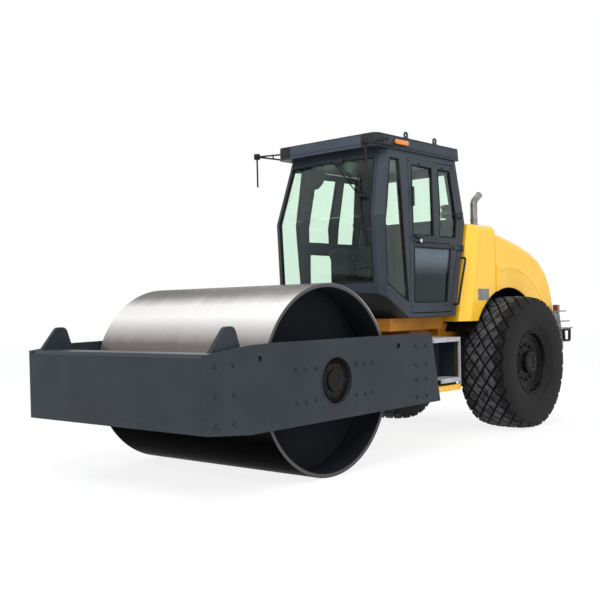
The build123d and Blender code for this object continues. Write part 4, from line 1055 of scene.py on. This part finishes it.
doorSet = {
    "bar": [(0.730, 0.020, 2.131), (0.756, 0.020, 2.131), (0.756, 0.700, 2.131), (0.730, 0.700, 2.131)],
    "barSize": (0.0105, 0.02),      # radius, bend
    # y and z of the turning knob; (along X, radius) of the knob and of its bright cap
    "knobSpot": (0.095, 2.131),
    "knob": [(0.730, 0.0), (0.730, 0.0225), (0.742, 0.024), (0.750, 0.030), (0.764, 0.030), (0.7695, 0.0246),
             (0.7705, 0.0)],
    "cap": [(0.768, 0.0), (0.768, 0.021), (0.774, 0.019), (0.776, 0.0)],
    "latch": [(0.012, 2.490), (0.046, 2.490), (0.076, 2.697), (0.044, 2.697)], "latchDepth": (0.726, 0.750),
    "handle": ((0.748, 0.030, 2.165), (0.764, 0.175, 2.200)),
    "stem": ((0.728, 0.036, 2.171), (0.754, 0.064, 2.194)),
    "bolts": [(0.060, 2.962), (-0.02, 2.165), (0.525, 2.962), (0.445, 2.16), (0.865, 2.960), (-0.015, 1.45),
              (0.615, 1.45), (0.70, 2.10)],
    "bolt": (0.007, 0.004), "studs": [(0.235, 2.949), (0.670, 2.949)], "stud": (0.010, 0.005),
}


def doorSpots(side, spots):
    # bolts set on the leaning side of the cab
    return [((side * (sideSpot(y, z, cabSet)[0] + 0.001), y, z), (side, 0, 0)) for y, z in spots]


def doorTrim(side, name, look):
    body = name + "_door"
    radius, bend = look["barSize"]
    pipePiece(name + "DoorBar", [onSide(side, look["bar"])], radius, "cabPaint", body, bend=bend, sides=12)
    knob, cap = [latheShape(look[key], (0, *look["knobSpot"]), "X", steps)
                 for key, steps in (("knob", 28), ("cap", 24))]
    latch = leanIn(plateShape(look["latch"], "X", *look["latchDepth"], 0.006), cabSet)
    trim = joinShapes([knob, latch, boxShape(*look["handle"], 0.006, 2), boxShape(*look["stem"], 0.003, 1)])
    if side < 0:
        cap, trim = flipShape(cap), flipShape(trim)
    addPiece(name + "DoorTrim", trim, "plastic", body)
    addPiece(name + "KnobCap", cap, "rodChrome", body)
    boltPiece(name + "DoorBolts", doorSpots(side, look["bolts"]), body, look["bolt"], "plastic", 1.6)
    boltPiece(name + "PaneStuds", doorSpots(side, look["studs"]), body, look["stud"], "rubber")


for side, name in sides:
    doorTrim(side, name, doorSet)

wiperSet = {
    "arms": [((0.100, 2.945), (0.480, 2.575)), ((0.160, 2.945), (0.538, 2.575))],
    "blade": [(0.400, 2.830), (0.450, 2.640), (0.530, 2.300), (0.560, 2.060)],
    # distance from the glass and radius
    "armSize": (0.040, 0.0065), "bladeSize": (0.012, 0.0075),
    # x, z and distance from the glass, then the two corners from there, softness and its steps
    "blocks": [((0.130, 2.965, 0.022), (-0.060, -0.012, -0.030), (0.060, 0.030, 0.028), 0.008, 3),
               ((0.508, 2.575, 0.030), (-0.040, -0.008, -0.012), (0.040, 0.008, 0.012), 0.004, 2)],
}


def wiper(look):
    for name, lines, key, materialName in (("wiperArms", look["arms"], "armSize", "blackPaint"),
                                           ("wiperBlade", [look["blade"]], "bladeSize", "rubber")):
        out, radius = look[key]
        runs = [[screenSpot(x, z, cabSet, out) for x, z in line] for line in lines]
        pipePiece(name, runs, radius, materialName, "chassis", sides=8)
    blocks = []
    for (x, z, out), low, high, soft, steps in look["blocks"]:
        spot = Vector(screenSpot(x, z, cabSet, out))
        blocks.append(boxShape(spot + Vector(low), spot + Vector(high), soft, steps))
    addPiece("wiperMotor", blocks, "plastic", "chassis")


wiper(wiperSet)

roofSet = {
    "half": 0.672, "front": -0.515, "rear": 1.014,
    "cut": (0.045, 0.045), "lean": 0.006,
    "lips": ((0.001, 3.192), (0.006, 3.070)), "lipRadius": 0.0065,      # growth past the roof, height
    "lipBend": 0.012, "panel": 0.90, "panelHeight": (3.196, 3.208),     # panel is a share of the roof
    "vent": ((-0.22, 0.42, 3.204), (0.22, 0.70, 3.243)),
    "seams": [(x, y) for x in (-0.56, -0.28, 0, 0.28, 0.56) for y in (-0.40, 0.90)], "bolt": (0.008, 0.005),
    "seamHeight": 3.2085,
    # front panel between its folds, the lip under it, and the corners and gutter at the sides
    "face": [(-0.480, 3.092), (0.480, 3.092), (0.480, 3.188), (-0.480, 3.188)], "faceDepth": (-0.521, -0.505),
    "lip": ((-0.484, -0.525, 3.063), (0.484, -0.495, 3.088)),
    "corner": [(0.484, -0.518), (0.627, -0.518), (0.674, -0.470), (0.674, -0.385), (0.652, -0.385),
               (0.652, -0.455), (0.484, -0.495)],
    "cornerHeight": (3.064, 3.186), "gutter": ((0.662, -0.385, 3.063), (0.673, 1.004, 3.098)),
    # y and z of the lamp's middle, half length, end radius
    "lamp": (-0.100, 3.135), "lampHalf": 0.093, "lampEnd": 0.025,
    # name, growth along and up, start and end along X, softness, material, replaced node
    "lampParts": [("lampBases", 1.04, 1.22, 0.6645, 0.6785, 0.003, "plastic", []),
                  ("lampLenses", 1.0, 1.0, 0.6765, 0.6985, 0.008, "orangeLens", ["roof_lamps"])],
    "eyes": [(0.635, 0.050), (0.635, 0.590)], "eyeHeight": 3.238, "footHeight": 3.197,
    "eye": [(-0.008, 0.018), (-0.006, 0.0165), (0.006, 0.0165), (0.008, 0.018), (0.008, 0.033),
            (0.006, 0.035), (-0.006, 0.035), (-0.008, 0.033)],
    # half widths across and along, top, softness and its steps of the foot and the weld under an eye
    "feet": [(0.0078, 0.036, 3.216, 0.002, 1), (0.016, 0.044, 3.206, 0.006, 2)],
}


def roofRun(grow, z, look):
    inset = grow - look["lean"]
    half, front, rear = look["half"] + inset, look["front"] - inset, look["rear"] + inset
    cutX, cutY = look["cut"]
    right = [(half, rear, z), (half, front + cutY, z), (half - cutX, front, z)]
    return right + onSide(-1, right[::-1])


def roofTrim(look):
    # rolled edges and a raised panel with a vent and seam bolts
    lips = [roofRun(grow, z, look) for grow, z in look["lips"]]
    pipePiece("roofLips", lips, look["lipRadius"], "cabPaint", "chassis", True, look["lipBend"], 8)
    middle, share = (look["front"] + look["rear"]) / 2, look["panel"]
    outline = [(x * share, middle + (y - middle) * share) for x, y, _ in roofRun(0, 0, look)]
    panel = plateShape(outline, "Z", *look["panelHeight"], 0.006)
    addPiece("roofPanel", [panel, boxShape(*look["vent"], 0.012, 3)], "cabPaint", "chassis")
    seams = [((x, y, look["seamHeight"]), (0, 0, 1)) for x, y in look["seams"]]
    boltPiece("roofBolts", seams, "chassis", look["bolt"], "cabPaint", 1.7)


def fascia(look):
    # pressed front panel between two folds, painted lighter than the cab as painted light, darker corners
    # that are painted shade, and a gutter under the sides
    face = plateShape(look["face"], "Y", *look["faceDepth"], 0.004)
    # the front panel takes a lighter copy of the cab paint: painted light
    addPiece("roofFace", [face, boxShape(*look["lip"], 0.004)], "roofPaint", "chassis")
    # the corner plates are dark plastic: painted shade where the roof's front turns away from the light
    corner = plateShape(look["corner"], "Z", *look["cornerHeight"], 0.003)
    corner = joinShapes([corner, boxShape(*look["gutter"])])
    addPiece("roofCornersPaintedShade", mirrorShape(corner), "plastic", "chassis")


def lampTrim(look):
    # lens over a dark base, both with rounded ends
    y, z = look["lamp"]
    size, ends = look["lampEnd"], []
    for turn in turnsOf(24):
        reach = math.copysign(look["lampHalf"], math.cos(turn))
        ends.append((reach + size * math.cos(turn), size * math.sin(turn)))
    for name, along, up, start, end, soft, materialName, replaced in look["lampParts"]:
        outline = [(y + a * along, z + b * up) for a, b in ends]
        shape = plateShape(outline, "X", start, end, soft)
        addPiece(name, mirrorShape(shape), materialName, "chassis", replaced)


def eyeRings(look):
    # lifting eyes with a welded foot
    shapes = []
    for x, y in look["eyes"]:
        shapes.append(latheShape(look["eye"], (x, y, look["eyeHeight"]), "X", 36))
        for across, along, top, soft, steps in look["feet"]:
            low = (x - across, y - along, look["footHeight"])
            shapes.append(boxShape(low, (x + across, y + along, top), soft, steps))
    addPiece("liftingEyes", mirrorShape(joinShapes(shapes)), "cabPaint", "chassis", ["lifting_eyes"])


for make in (roofTrim, fascia, lampTrim, eyeRings):
    make(roofSet)
print("cab outside made")


# cab inside

seatSet = {
    "cushion": ((-0.235, -0.115, 1.735), (0.235, 0.300, 1.826)),
    "back": [(-0.222, 1.850), (0.222, 1.850), (0.245, 2.180), (0.182, 2.360), (0.110, 2.392), (-0.110, 2.392),
             (-0.182, 2.360), (-0.245, 2.180)],
    "backDepth": (0.290, 0.405),
    "base": ((-0.220, -0.110, 1.700), (0.220, 0.330, 1.745)),
    "spine": ((-0.170, 0.385, 1.72), (0.170, 0.420, 2.16)),
    "arch": [(-0.075, 0.350, 2.392), (-0.075, 0.350, 2.468), (0.075, 0.350, 2.468), (0.075, 0.350, 2.392)],
    "archSize": (0.0105, 0.045),        # radius, bend
    # cloth: share that is padding, grid, pressure, frames, quality, most that a point may move
    "fill": 0.8, "voxel": 0.0096, "pressure": 4.0, "frames": 20, "quality": 6, "cap": 0.024,
}


def puff(name, shape, look):
    # cushion blown up softly under cloth, its movement held to a limit
    mesh = toMesh(name, shape)
    body = bpy.data.objects.new(name, mesh)
    scene.collection.objects.link(body)
    remesh = body.modifiers.new("remesh", "REMESH")
    remesh.mode, remesh.voxel_size = "VOXEL", look["voxel"]
    graph = bpy.context.evaluated_depsgraph_get()
    fine = bpy.data.meshes.new_from_object(body.evaluated_get(graph), depsgraph=graph)
    body.modifiers.clear()
    body.data = fine
    start = [v.co.copy() for v in fine.vertices]
    cloth = body.modifiers.new("cloth", "CLOTH")
    cloth.settings.use_pressure = True
    cloth.settings.uniform_pressure_force = look["pressure"]
    cloth.settings.quality = look["quality"]
    cloth.settings.effector_weights.gravity = 0
    cloth.point_cache.frame_end = look["frames"]
    for count in range(1, look["frames"] + 1):
        scene.frame_set(count)
    graph = bpy.context.evaluated_depsgraph_get()
    puffed = bpy.data.meshes.new_from_object(body.evaluated_get(graph), depsgraph=graph)
    for vertex, old in zip(puffed.vertices, start):
        shift = vertex.co - old
        if shift.length > look["cap"]:
            vertex.co = old + shift.normalized() * look["cap"]
    scene.frame_set(1)
    bpy.data.objects.remove(body)
    return puffed


def makeSeat(look):
    cushion = boxShape(*look["cushion"], 0.030, 4)
    back = plateShape(look["back"], "Y", *look["backDepth"], 0.022)
    cushion = meshOf([puff("cushion", cushion, look)])
    back = meshOf([puff("back", back, look)])
    piece = addPiece("seatPads", [cushion, back], "seatCover", "chassis", ["seat"], 60)
    shell = [boxShape(*look["base"], 0.012, 2), boxShape(*look["spine"], 0.014, 3)]
    addPiece("seatShell", shell, "plastic", "chassis")
    radius, bend = look["archSize"]
    pipePiece("seatArch", [look["arch"]], radius, "plastic", "chassis", bend=bend, sides=12)


makeSeat(seatSet)
print("seat made")


# cab controls, visor and floor

wheelSet = {
    "place": (0.0, -0.180, 1.990), "tilt": -25.0, "ring": (0.186, 0.0135), "spokes": 4,
    "hub": [(-0.015, 0.0), (-0.015, 0.030), (-0.006, 0.044), (0.010, 0.046), (0.0145, 0.038), (0.015, 0.0)],
    "spoke": (0.035, 0.015, 0.006),     # where it starts, half its width and height
}


def steeringWheel(look):
    big, small = look["ring"]
    profile = [(small * math.sin(turn), big + small * math.cos(turn)) for turn in turnsOf(12)]
    shapes = [turnedShape(profile, 56), turnedShape(look["hub"], 32)]
    start, wide, tall = look["spoke"]
    for turn in turnsOf(look["spokes"]):
        arm = boxShape((start, -wide, -tall), (big, wide, tall), 0.004, 2)
        arm.transform(Matrix.Rotation(turn, 4, "Z"))
        shapes.append(arm)
    wheel = joinShapes(shapes)
    wheel.transform(Matrix.Translation(look["place"]) @ Matrix.Rotation(math.radians(look["tilt"]), 4, "X"))
    addPiece("steeringWheel", wheel, "plastic", "chassis", ["steering_wheel"])


def turnedShape(profile, steps, place=(0, 0, 0), facing=(0, 0, 1)):
    # a round shape made about +Z, set down at a place and facing a way
    shape = latheShape(profile, (0, 0, 0), "Z", steps)
    shape.transform(Matrix.Translation(place) @ Vector(facing).to_track_quat("Z", "Y").to_matrix().to_4x4())
    return shape


controlSet = {
    # y and z of the pod above the console
    "pod": [(-0.322, 1.930), (-0.362, 2.020), (-0.318, 2.052), (-0.262, 1.925)], "podHalf": 0.105,
    "gauges": [(-0.060, 0.024), (0.0, 0.030), (0.060, 0.024)],      # x and radius
    # height, and radius as a share, of a gauge's rim
    "rim": [(0.0, 0.0), (0.0, 1.0), (0.007, 1.0), (0.007, 0.85), (0.003, 0.8), (0.003, 0.0)],
    "gaugeSpot": (-0.288, 1.990), "gaugeFacing": (0.0, 0.915, 0.403),
    "mat": ((-0.60, 0.06, 1.3905), (0.60, 0.74, 1.397)),
    "visor": [(-0.412, 2.935), (-0.115, 2.915), (-0.117, 2.832), (-0.160, 2.770), (-0.218, 2.726),
              (-0.304, 2.716), (-0.380, 2.745), (-0.416, 2.800)],
    "visorDepth": (-0.378, -0.366),
    "stays": [[(x, -0.372, 2.905), (x, -0.322, 2.992)] for x in (-0.35, -0.18)], "stayRadius": 0.006,
}


def controls(look):
    shapes = [plateShape(look["pod"], "X", -look["podHalf"], look["podHalf"], 0.010)]
    for x, size in look["gauges"]:
        rim = [(up, size * share) for up, share in look["rim"]]
        shapes.append(turnedShape(rim, 28, (x, *look["gaugeSpot"]), look["gaugeFacing"]))
    shapes.append(plateShape(look["visor"], "Y", *look["visorDepth"], 0.004))
    addPiece("dashPod", shapes, "plastic", "chassis")
    addPiece("floorMat", boxShape(*look["mat"], 0.002, 1), "rubber", "chassis")
    pipePiece("visorStays", look["stays"], look["stayRadius"], "plastic", "chassis", sides=8)


steeringWheel(wheelSet)
controls(controlSet)
print("cab inside made")


# stack, air cleaner, hood trim

stackSet = {
    "path": [(0.620, 1.410, 2.360), (0.620, 1.410, 2.650), (0.620, 1.530, 2.730)],
    "radius": 0.040, "bend": 0.090,
    # height and radius down the flange and band clamp at its foot
    "flange": [(2.358, 0.040), (2.358, 0.066), (2.366, 0.068), (2.372, 0.064), (2.374, 0.046), (2.392, 0.044),
               (2.394, 0.040)],
    "band": [(2.420, 0.040), (2.420, 0.0445), (2.440, 0.0445), (2.440, 0.040)],
    # height, and radius as a share of the pipe's, of the rolled mouth and a dark disc inside it: soot and
    # painted shade of the pipe's hollow
    "mouth": [(-0.004, 1.0), (-0.004, 1.04), (0.003, 1.04), (0.003, 0.88), (-0.001, 0.88), (-0.001, 0.99)],
    "dark": [(0.0, 0.0), (0.0, 0.87), (0.0015, 0.87), (0.0015, 0.0)],
    "boltTurns": (0.8, 2.37, 3.94, 5.51), "boltReach": 0.055, "boltHeight": 2.373, "bolt": (0.006, 0.005),
}


def stack(look):
    start, knee, end = [Vector(p) for p in look["path"]]
    size, ahead = look["radius"], (end - knee).normalized()
    pipe = runTree("stack", "pipe", pathMesh("stack", [look["path"]]), "pipeSteel",
                   Radius=size, Bend=look["bend"], Sides=32)
    mouth, dark = [turnedShape([(up, size * share) for up, share in look[key]], 32, end, ahead)
                   for key in ("mouth", "dark")]
    shapes = [meshOf([pipe]), mouth]
    for key in ("flange", "band"):
        shapes.append(latheShape(look[key], (start[0], start[1], 0), "Z", 40))
    addPiece("exhaustStack", shapes, "pipeSteel", "chassis", ["exhaust"])
    # dark disc over the pipe's closed end: painted shade of its hollow, with soot
    addPiece("stackMouthShade", dark, "rubber", "chassis")
    ring = roundSpots(start, look["boltReach"], look["boltTurns"])
    spots = [((x, y, look["boltHeight"]), (0, 0, 1)) for x, y in ring]
    boltPiece("stackBolts", spots, "chassis", look["bolt"], "pipeSteel")


cleanerSet = {
    "centre": (0.417, 1.200, 0.0),
    "profile": [(2.36, 0.0), (2.36, 0.040), (2.456, 0.040), (2.46, 0.090), (2.466, 0.097), (2.528, 0.097),
                (2.535, 0.093), (2.537, 0.080), (2.543, 0.080), (2.546, 0.088), (2.552, 0.090), (2.572, 0.09),
                (2.576, 0.098), (2.584, 0.101), (2.598, 0.098), (2.606, 0.080), (2.610, 0.045), (2.610, 0.0)],
    "clamp": [(2.500, 0.0965), (2.500, 0.1005), (2.514, 0.1005), (2.514, 0.0965)],
    "lug": ((0.511, 1.188, 2.498), (0.533, 1.212, 2.516)),
}


def airCleaner(look):
    bowl, clamp = [latheShape(look[key], look["centre"], "Z", 56) for key in ("profile", "clamp")]
    addPiece("airCleaner", bowl, "plastic", "chassis", ["air_cleaner"])
    addPiece("cleanerClamp", [clamp, boxShape(*look["lug"], 0.003, 1)], "pinSteel", "chassis")


hoodSet = {
    "arch": (1.800, 0.820), "lipRadius": 1.070, "lipFoot": 0.8295, "lipRise": 0.020, "lipWide": 0.048,
    "lipTurns": (104, 30), "lipSteps": 28, "lipSides": 8,       # degrees from +Y, along the arch
    "lipEnd": 0.008,        # half width left at its thin end
    "seal": (0.829, 0.822, 0.006),      # along X, radius round the arch, thickness
    "sealTurns": (("cowlSeals", "chassis", 146, 112), ("hoodSeals", "hood", 109, 32)), "sealSteps": 30,
    # back of the tail's slats, y and z, and half its width
    "screen": [(2.828, 1.765), (2.876, 1.690), (2.946, 1.510), (2.973, 1.355),
               (2.965, 1.355), (2.938, 1.510), (2.868, 1.690), (2.820, 1.765)],
    "screenHalf": 0.435,
    "plate": ((0.8285, 1.115, 1.500), (0.8325, 1.355, 1.630)),
    "rivets": [(0.8325, y, z) for y in (1.127, 1.343) for z in (1.512, 1.618)], "rivet": (0.004, 0.003),
    "stop": [(-0.010, 0.0), (-0.010, 0.014), (0.012, 0.013), (0.018, 0.010), (0.020, 0.0)],
    "stopPlace": (0.776, 1.105, 1.900), "stopFacing": (0.7, -0.7, 0),
}


def flareLip(look):
    # pressed crescent round the fender flare, narrowing towards the tail
    shape = bmesh.new()
    rings = []
    for k, turn in enumerate(sweep(*look["lipTurns"], look["lipSteps"])):
        wide = look["lipWide"] * (1 - k / look["lipSteps"]) ** 0.7 + look["lipEnd"]
        ring = []
        for arch in sweep(0, 180, look["lipSides"]):
            spot = roundSpots(look["arch"], look["lipRadius"] - wide * math.cos(arch), [turn])[0]
            ring.append(shape.verts.new((look["lipFoot"] + look["lipRise"] * math.sin(arch), *spot)))
        rings.append(ring)
    for here, there in zip(rings, rings[1:]):
        for j in range(len(here)):
            n = (j + 1) % len(here)
            shape.faces.new((here[j], here[n], there[n], there[j]))
    shape.faces.new(rings[0])
    shape.faces.new(rings[-1])
    return shape


def hoodTrim(look):
    # flare lips, seals round the arch, a screen behind the tail's slats, a blank plate and door stops
    addPiece("flareLips", mirrorShape(flareLip(look)), "yellowPaint", "hood")
    x, reach, thick = look["seal"]
    for name, body, first, last in look["sealTurns"]:
        edge = [(x, y, z) for y, z in roundSpots(look["arch"], reach, sweep(first, last, look["sealSteps"]))]
        pipePiece(name, flipSides([edge]), thick, "rubber", body, sides=8)
    half = look["screenHalf"]
    addPiece("grilleScreen", plateShape(look["screen"], "X", -half, half, 0), "liner", "hood")
    addPiece("blankPlate", boxShape(*look["plate"], 0.001, 1), "bracketMetal", "chassis")
    spots = [(spot, (1, 0, 0)) for spot in look["rivets"]]
    boltPiece("plateRivets", spots, "chassis", look["rivet"], "pinSteel", 1.3)
    stop = turnedShape(look["stop"], 20, look["stopPlace"], look["stopFacing"])
    addPiece("doorStops", mirrorShape(stop), "rubber", "chassis")


stack(stackSet)
airCleaner(cleanerSet)
hoodTrim(hoodSet)
print("hood trim made")


# treads, cylinders, mirrors, tail

smallSet = {
    # first rib's two corners and the count of ribs in each tread
    "treads": [((0.475, 0.020, 1.1075), (0.866, 0.028, 1.1105), 15),
               ((0.650, 0.165, 0.6755), (0.866, 0.173, 0.6785), 12)],
    "treadStep": (0, 0.040, 0),
    "gland": [(0.106, 0.0305), (0.106, 0.047), (0.112, 0.050), (0.126, 0.050), (0.130, 0.0465),
              (0.130, 0.0305)],
    "glandCentre": (0.270, 0.0, 0.830),
    "clamp": [(-0.030, 0.012), (-0.030, 0.030), (-0.024, 0.034), (0.024, 0.034), (0.030, 0.030),
              (0.030, 0.012)],
    "clamps": [(0.700, -0.730, 3.070), (-0.870, -0.630, 3.120)],
    "tailBolts": [(x, 3.1905, 0.960) for x in (0.22, 0.40, 0.62, 0.76)], "tailBolt": (0.016, 0.011),
}


def smallThings(look):
    ribs, step = [], look["treadStep"]
    for low, high, count in look["treads"]:
        rib = boxShape(low, high, 0.001, 1)
        ribs.append(runTree("ribs", "row", rib, "treadMetal", Count=count, Step=step))
    addPiece("treadRibs", mirrorShape(meshOf(ribs)), "treadMetal", "chassis")
    x, y, z = look["glandCentre"]
    for side, name in sides:
        gland = latheShape(look["gland"], (side * x, y, z), "Y", 40)
        addPiece(name + "Gland", gland, "pinSteel", name + "_barrel")
    rings = [latheShape(look["clamp"], place, "Z", 24) for place in look["clamps"]]
    addPiece("mirrorClamps", rings, "blackPaint", "chassis")
    for side, name in ((1, "tailBolts"), (-1, "tailBoltsRight")):
        spots = [(spot, (0, 1, 0)) for spot in onSide(side, look["tailBolts"])]
        boltPiece(name, spots, "chassis", look["tailBolt"])


smallThings(smallSet)
print("small pieces made")


# floor, backdrop and light

stageSet = {
    "size": 60.0, "drop": -0.002, "floor": (0.9, 0.9, 0.9, 1), "glow": 1.06, "veil": 0.8,
    "world": 0.75, "sky": (0.95, 0.97, 1.0, 1), "white": 1.0,
}


def whiteRays(r):
    # 1 for what the camera, a mirror or a pane sees
    kinds = ("Is Camera Ray", "Is Glossy Ray", "Is Transmission Ray")
    camera, glossy, through = [r.node("ShaderNodeLightPath", out=kind) for kind in kinds]
    return camera.most(glossy).most(through)


def addStage(look):
    half = look["size"] / 2
    mesh = bpy.data.meshes.new("floor")
    corners = [(-half, -half, 0), (half, -half, 0), (half, half, 0), (-half, half, 0)]
    mesh.from_pydata(corners, [], [(0, 1, 2, 3)])
    floor = bpy.data.objects.new("floor", mesh)
    floor.location.z = look["drop"]
    scene.collection.objects.link(floor)
    r = newRecipe("floorTone")
    matte = r.node("ShaderNodeBsdfDiffuse", {}, {"Color": look["floor"]})
    white = r.node("ShaderNodeEmission", {}, {"Color": "#ffffff", "Strength": look["glow"]})
    r.close(r.node("ShaderNodeMixShader", {}, {0: whiteRays(r) * look["veil"], 1: matte, 2: white}))
    mesh.materials.append(r.owner)
    scene.world = bpy.data.worlds.new("sky")
    w = Recipe(scene.world)
    soft = w.node("ShaderNodeBackground", {}, {"Color": look["sky"], "Strength": look["world"]})
    white = w.node("ShaderNodeBackground", {}, {"Color": "#ffffff", "Strength": look["white"]})
    w.close(w.node("ShaderNodeMixShader", {}, {0: whiteRays(w), 1: soft, 2: white}), "ShaderNodeOutputWorld")


lampSet = [
    # name, place, aim, size, watts
    ("keyLamp", (4.5, -7.5, 9.0), (0, -0.5, 1.0), 6.0, 620.0),
    ("sideLamp", (10.0, -1.0, 5.0), (0, 0.5, 1.2), 6.0, 190.0),
    ("backLamp", (-6.0, 6.0, 7.0), (0, 0, 1.5), 6.0, 260.0),
]


def addLamps(table):
    for name, place, aim, size, watts in table:
        lampData = bpy.data.lights.new(name, "AREA")
        lampData.size = size
        lampData.energy = watts
        lamp = bpy.data.objects.new(name, lampData)
        scene.collection.objects.link(lamp)
        lamp.location = place
        lamp.rotation_euler = (Vector(aim) - Vector(place)).to_track_quat("-Z", "Y").to_euler()


addStage(stageSet)
addLamps(lampSet)
print("stage set")
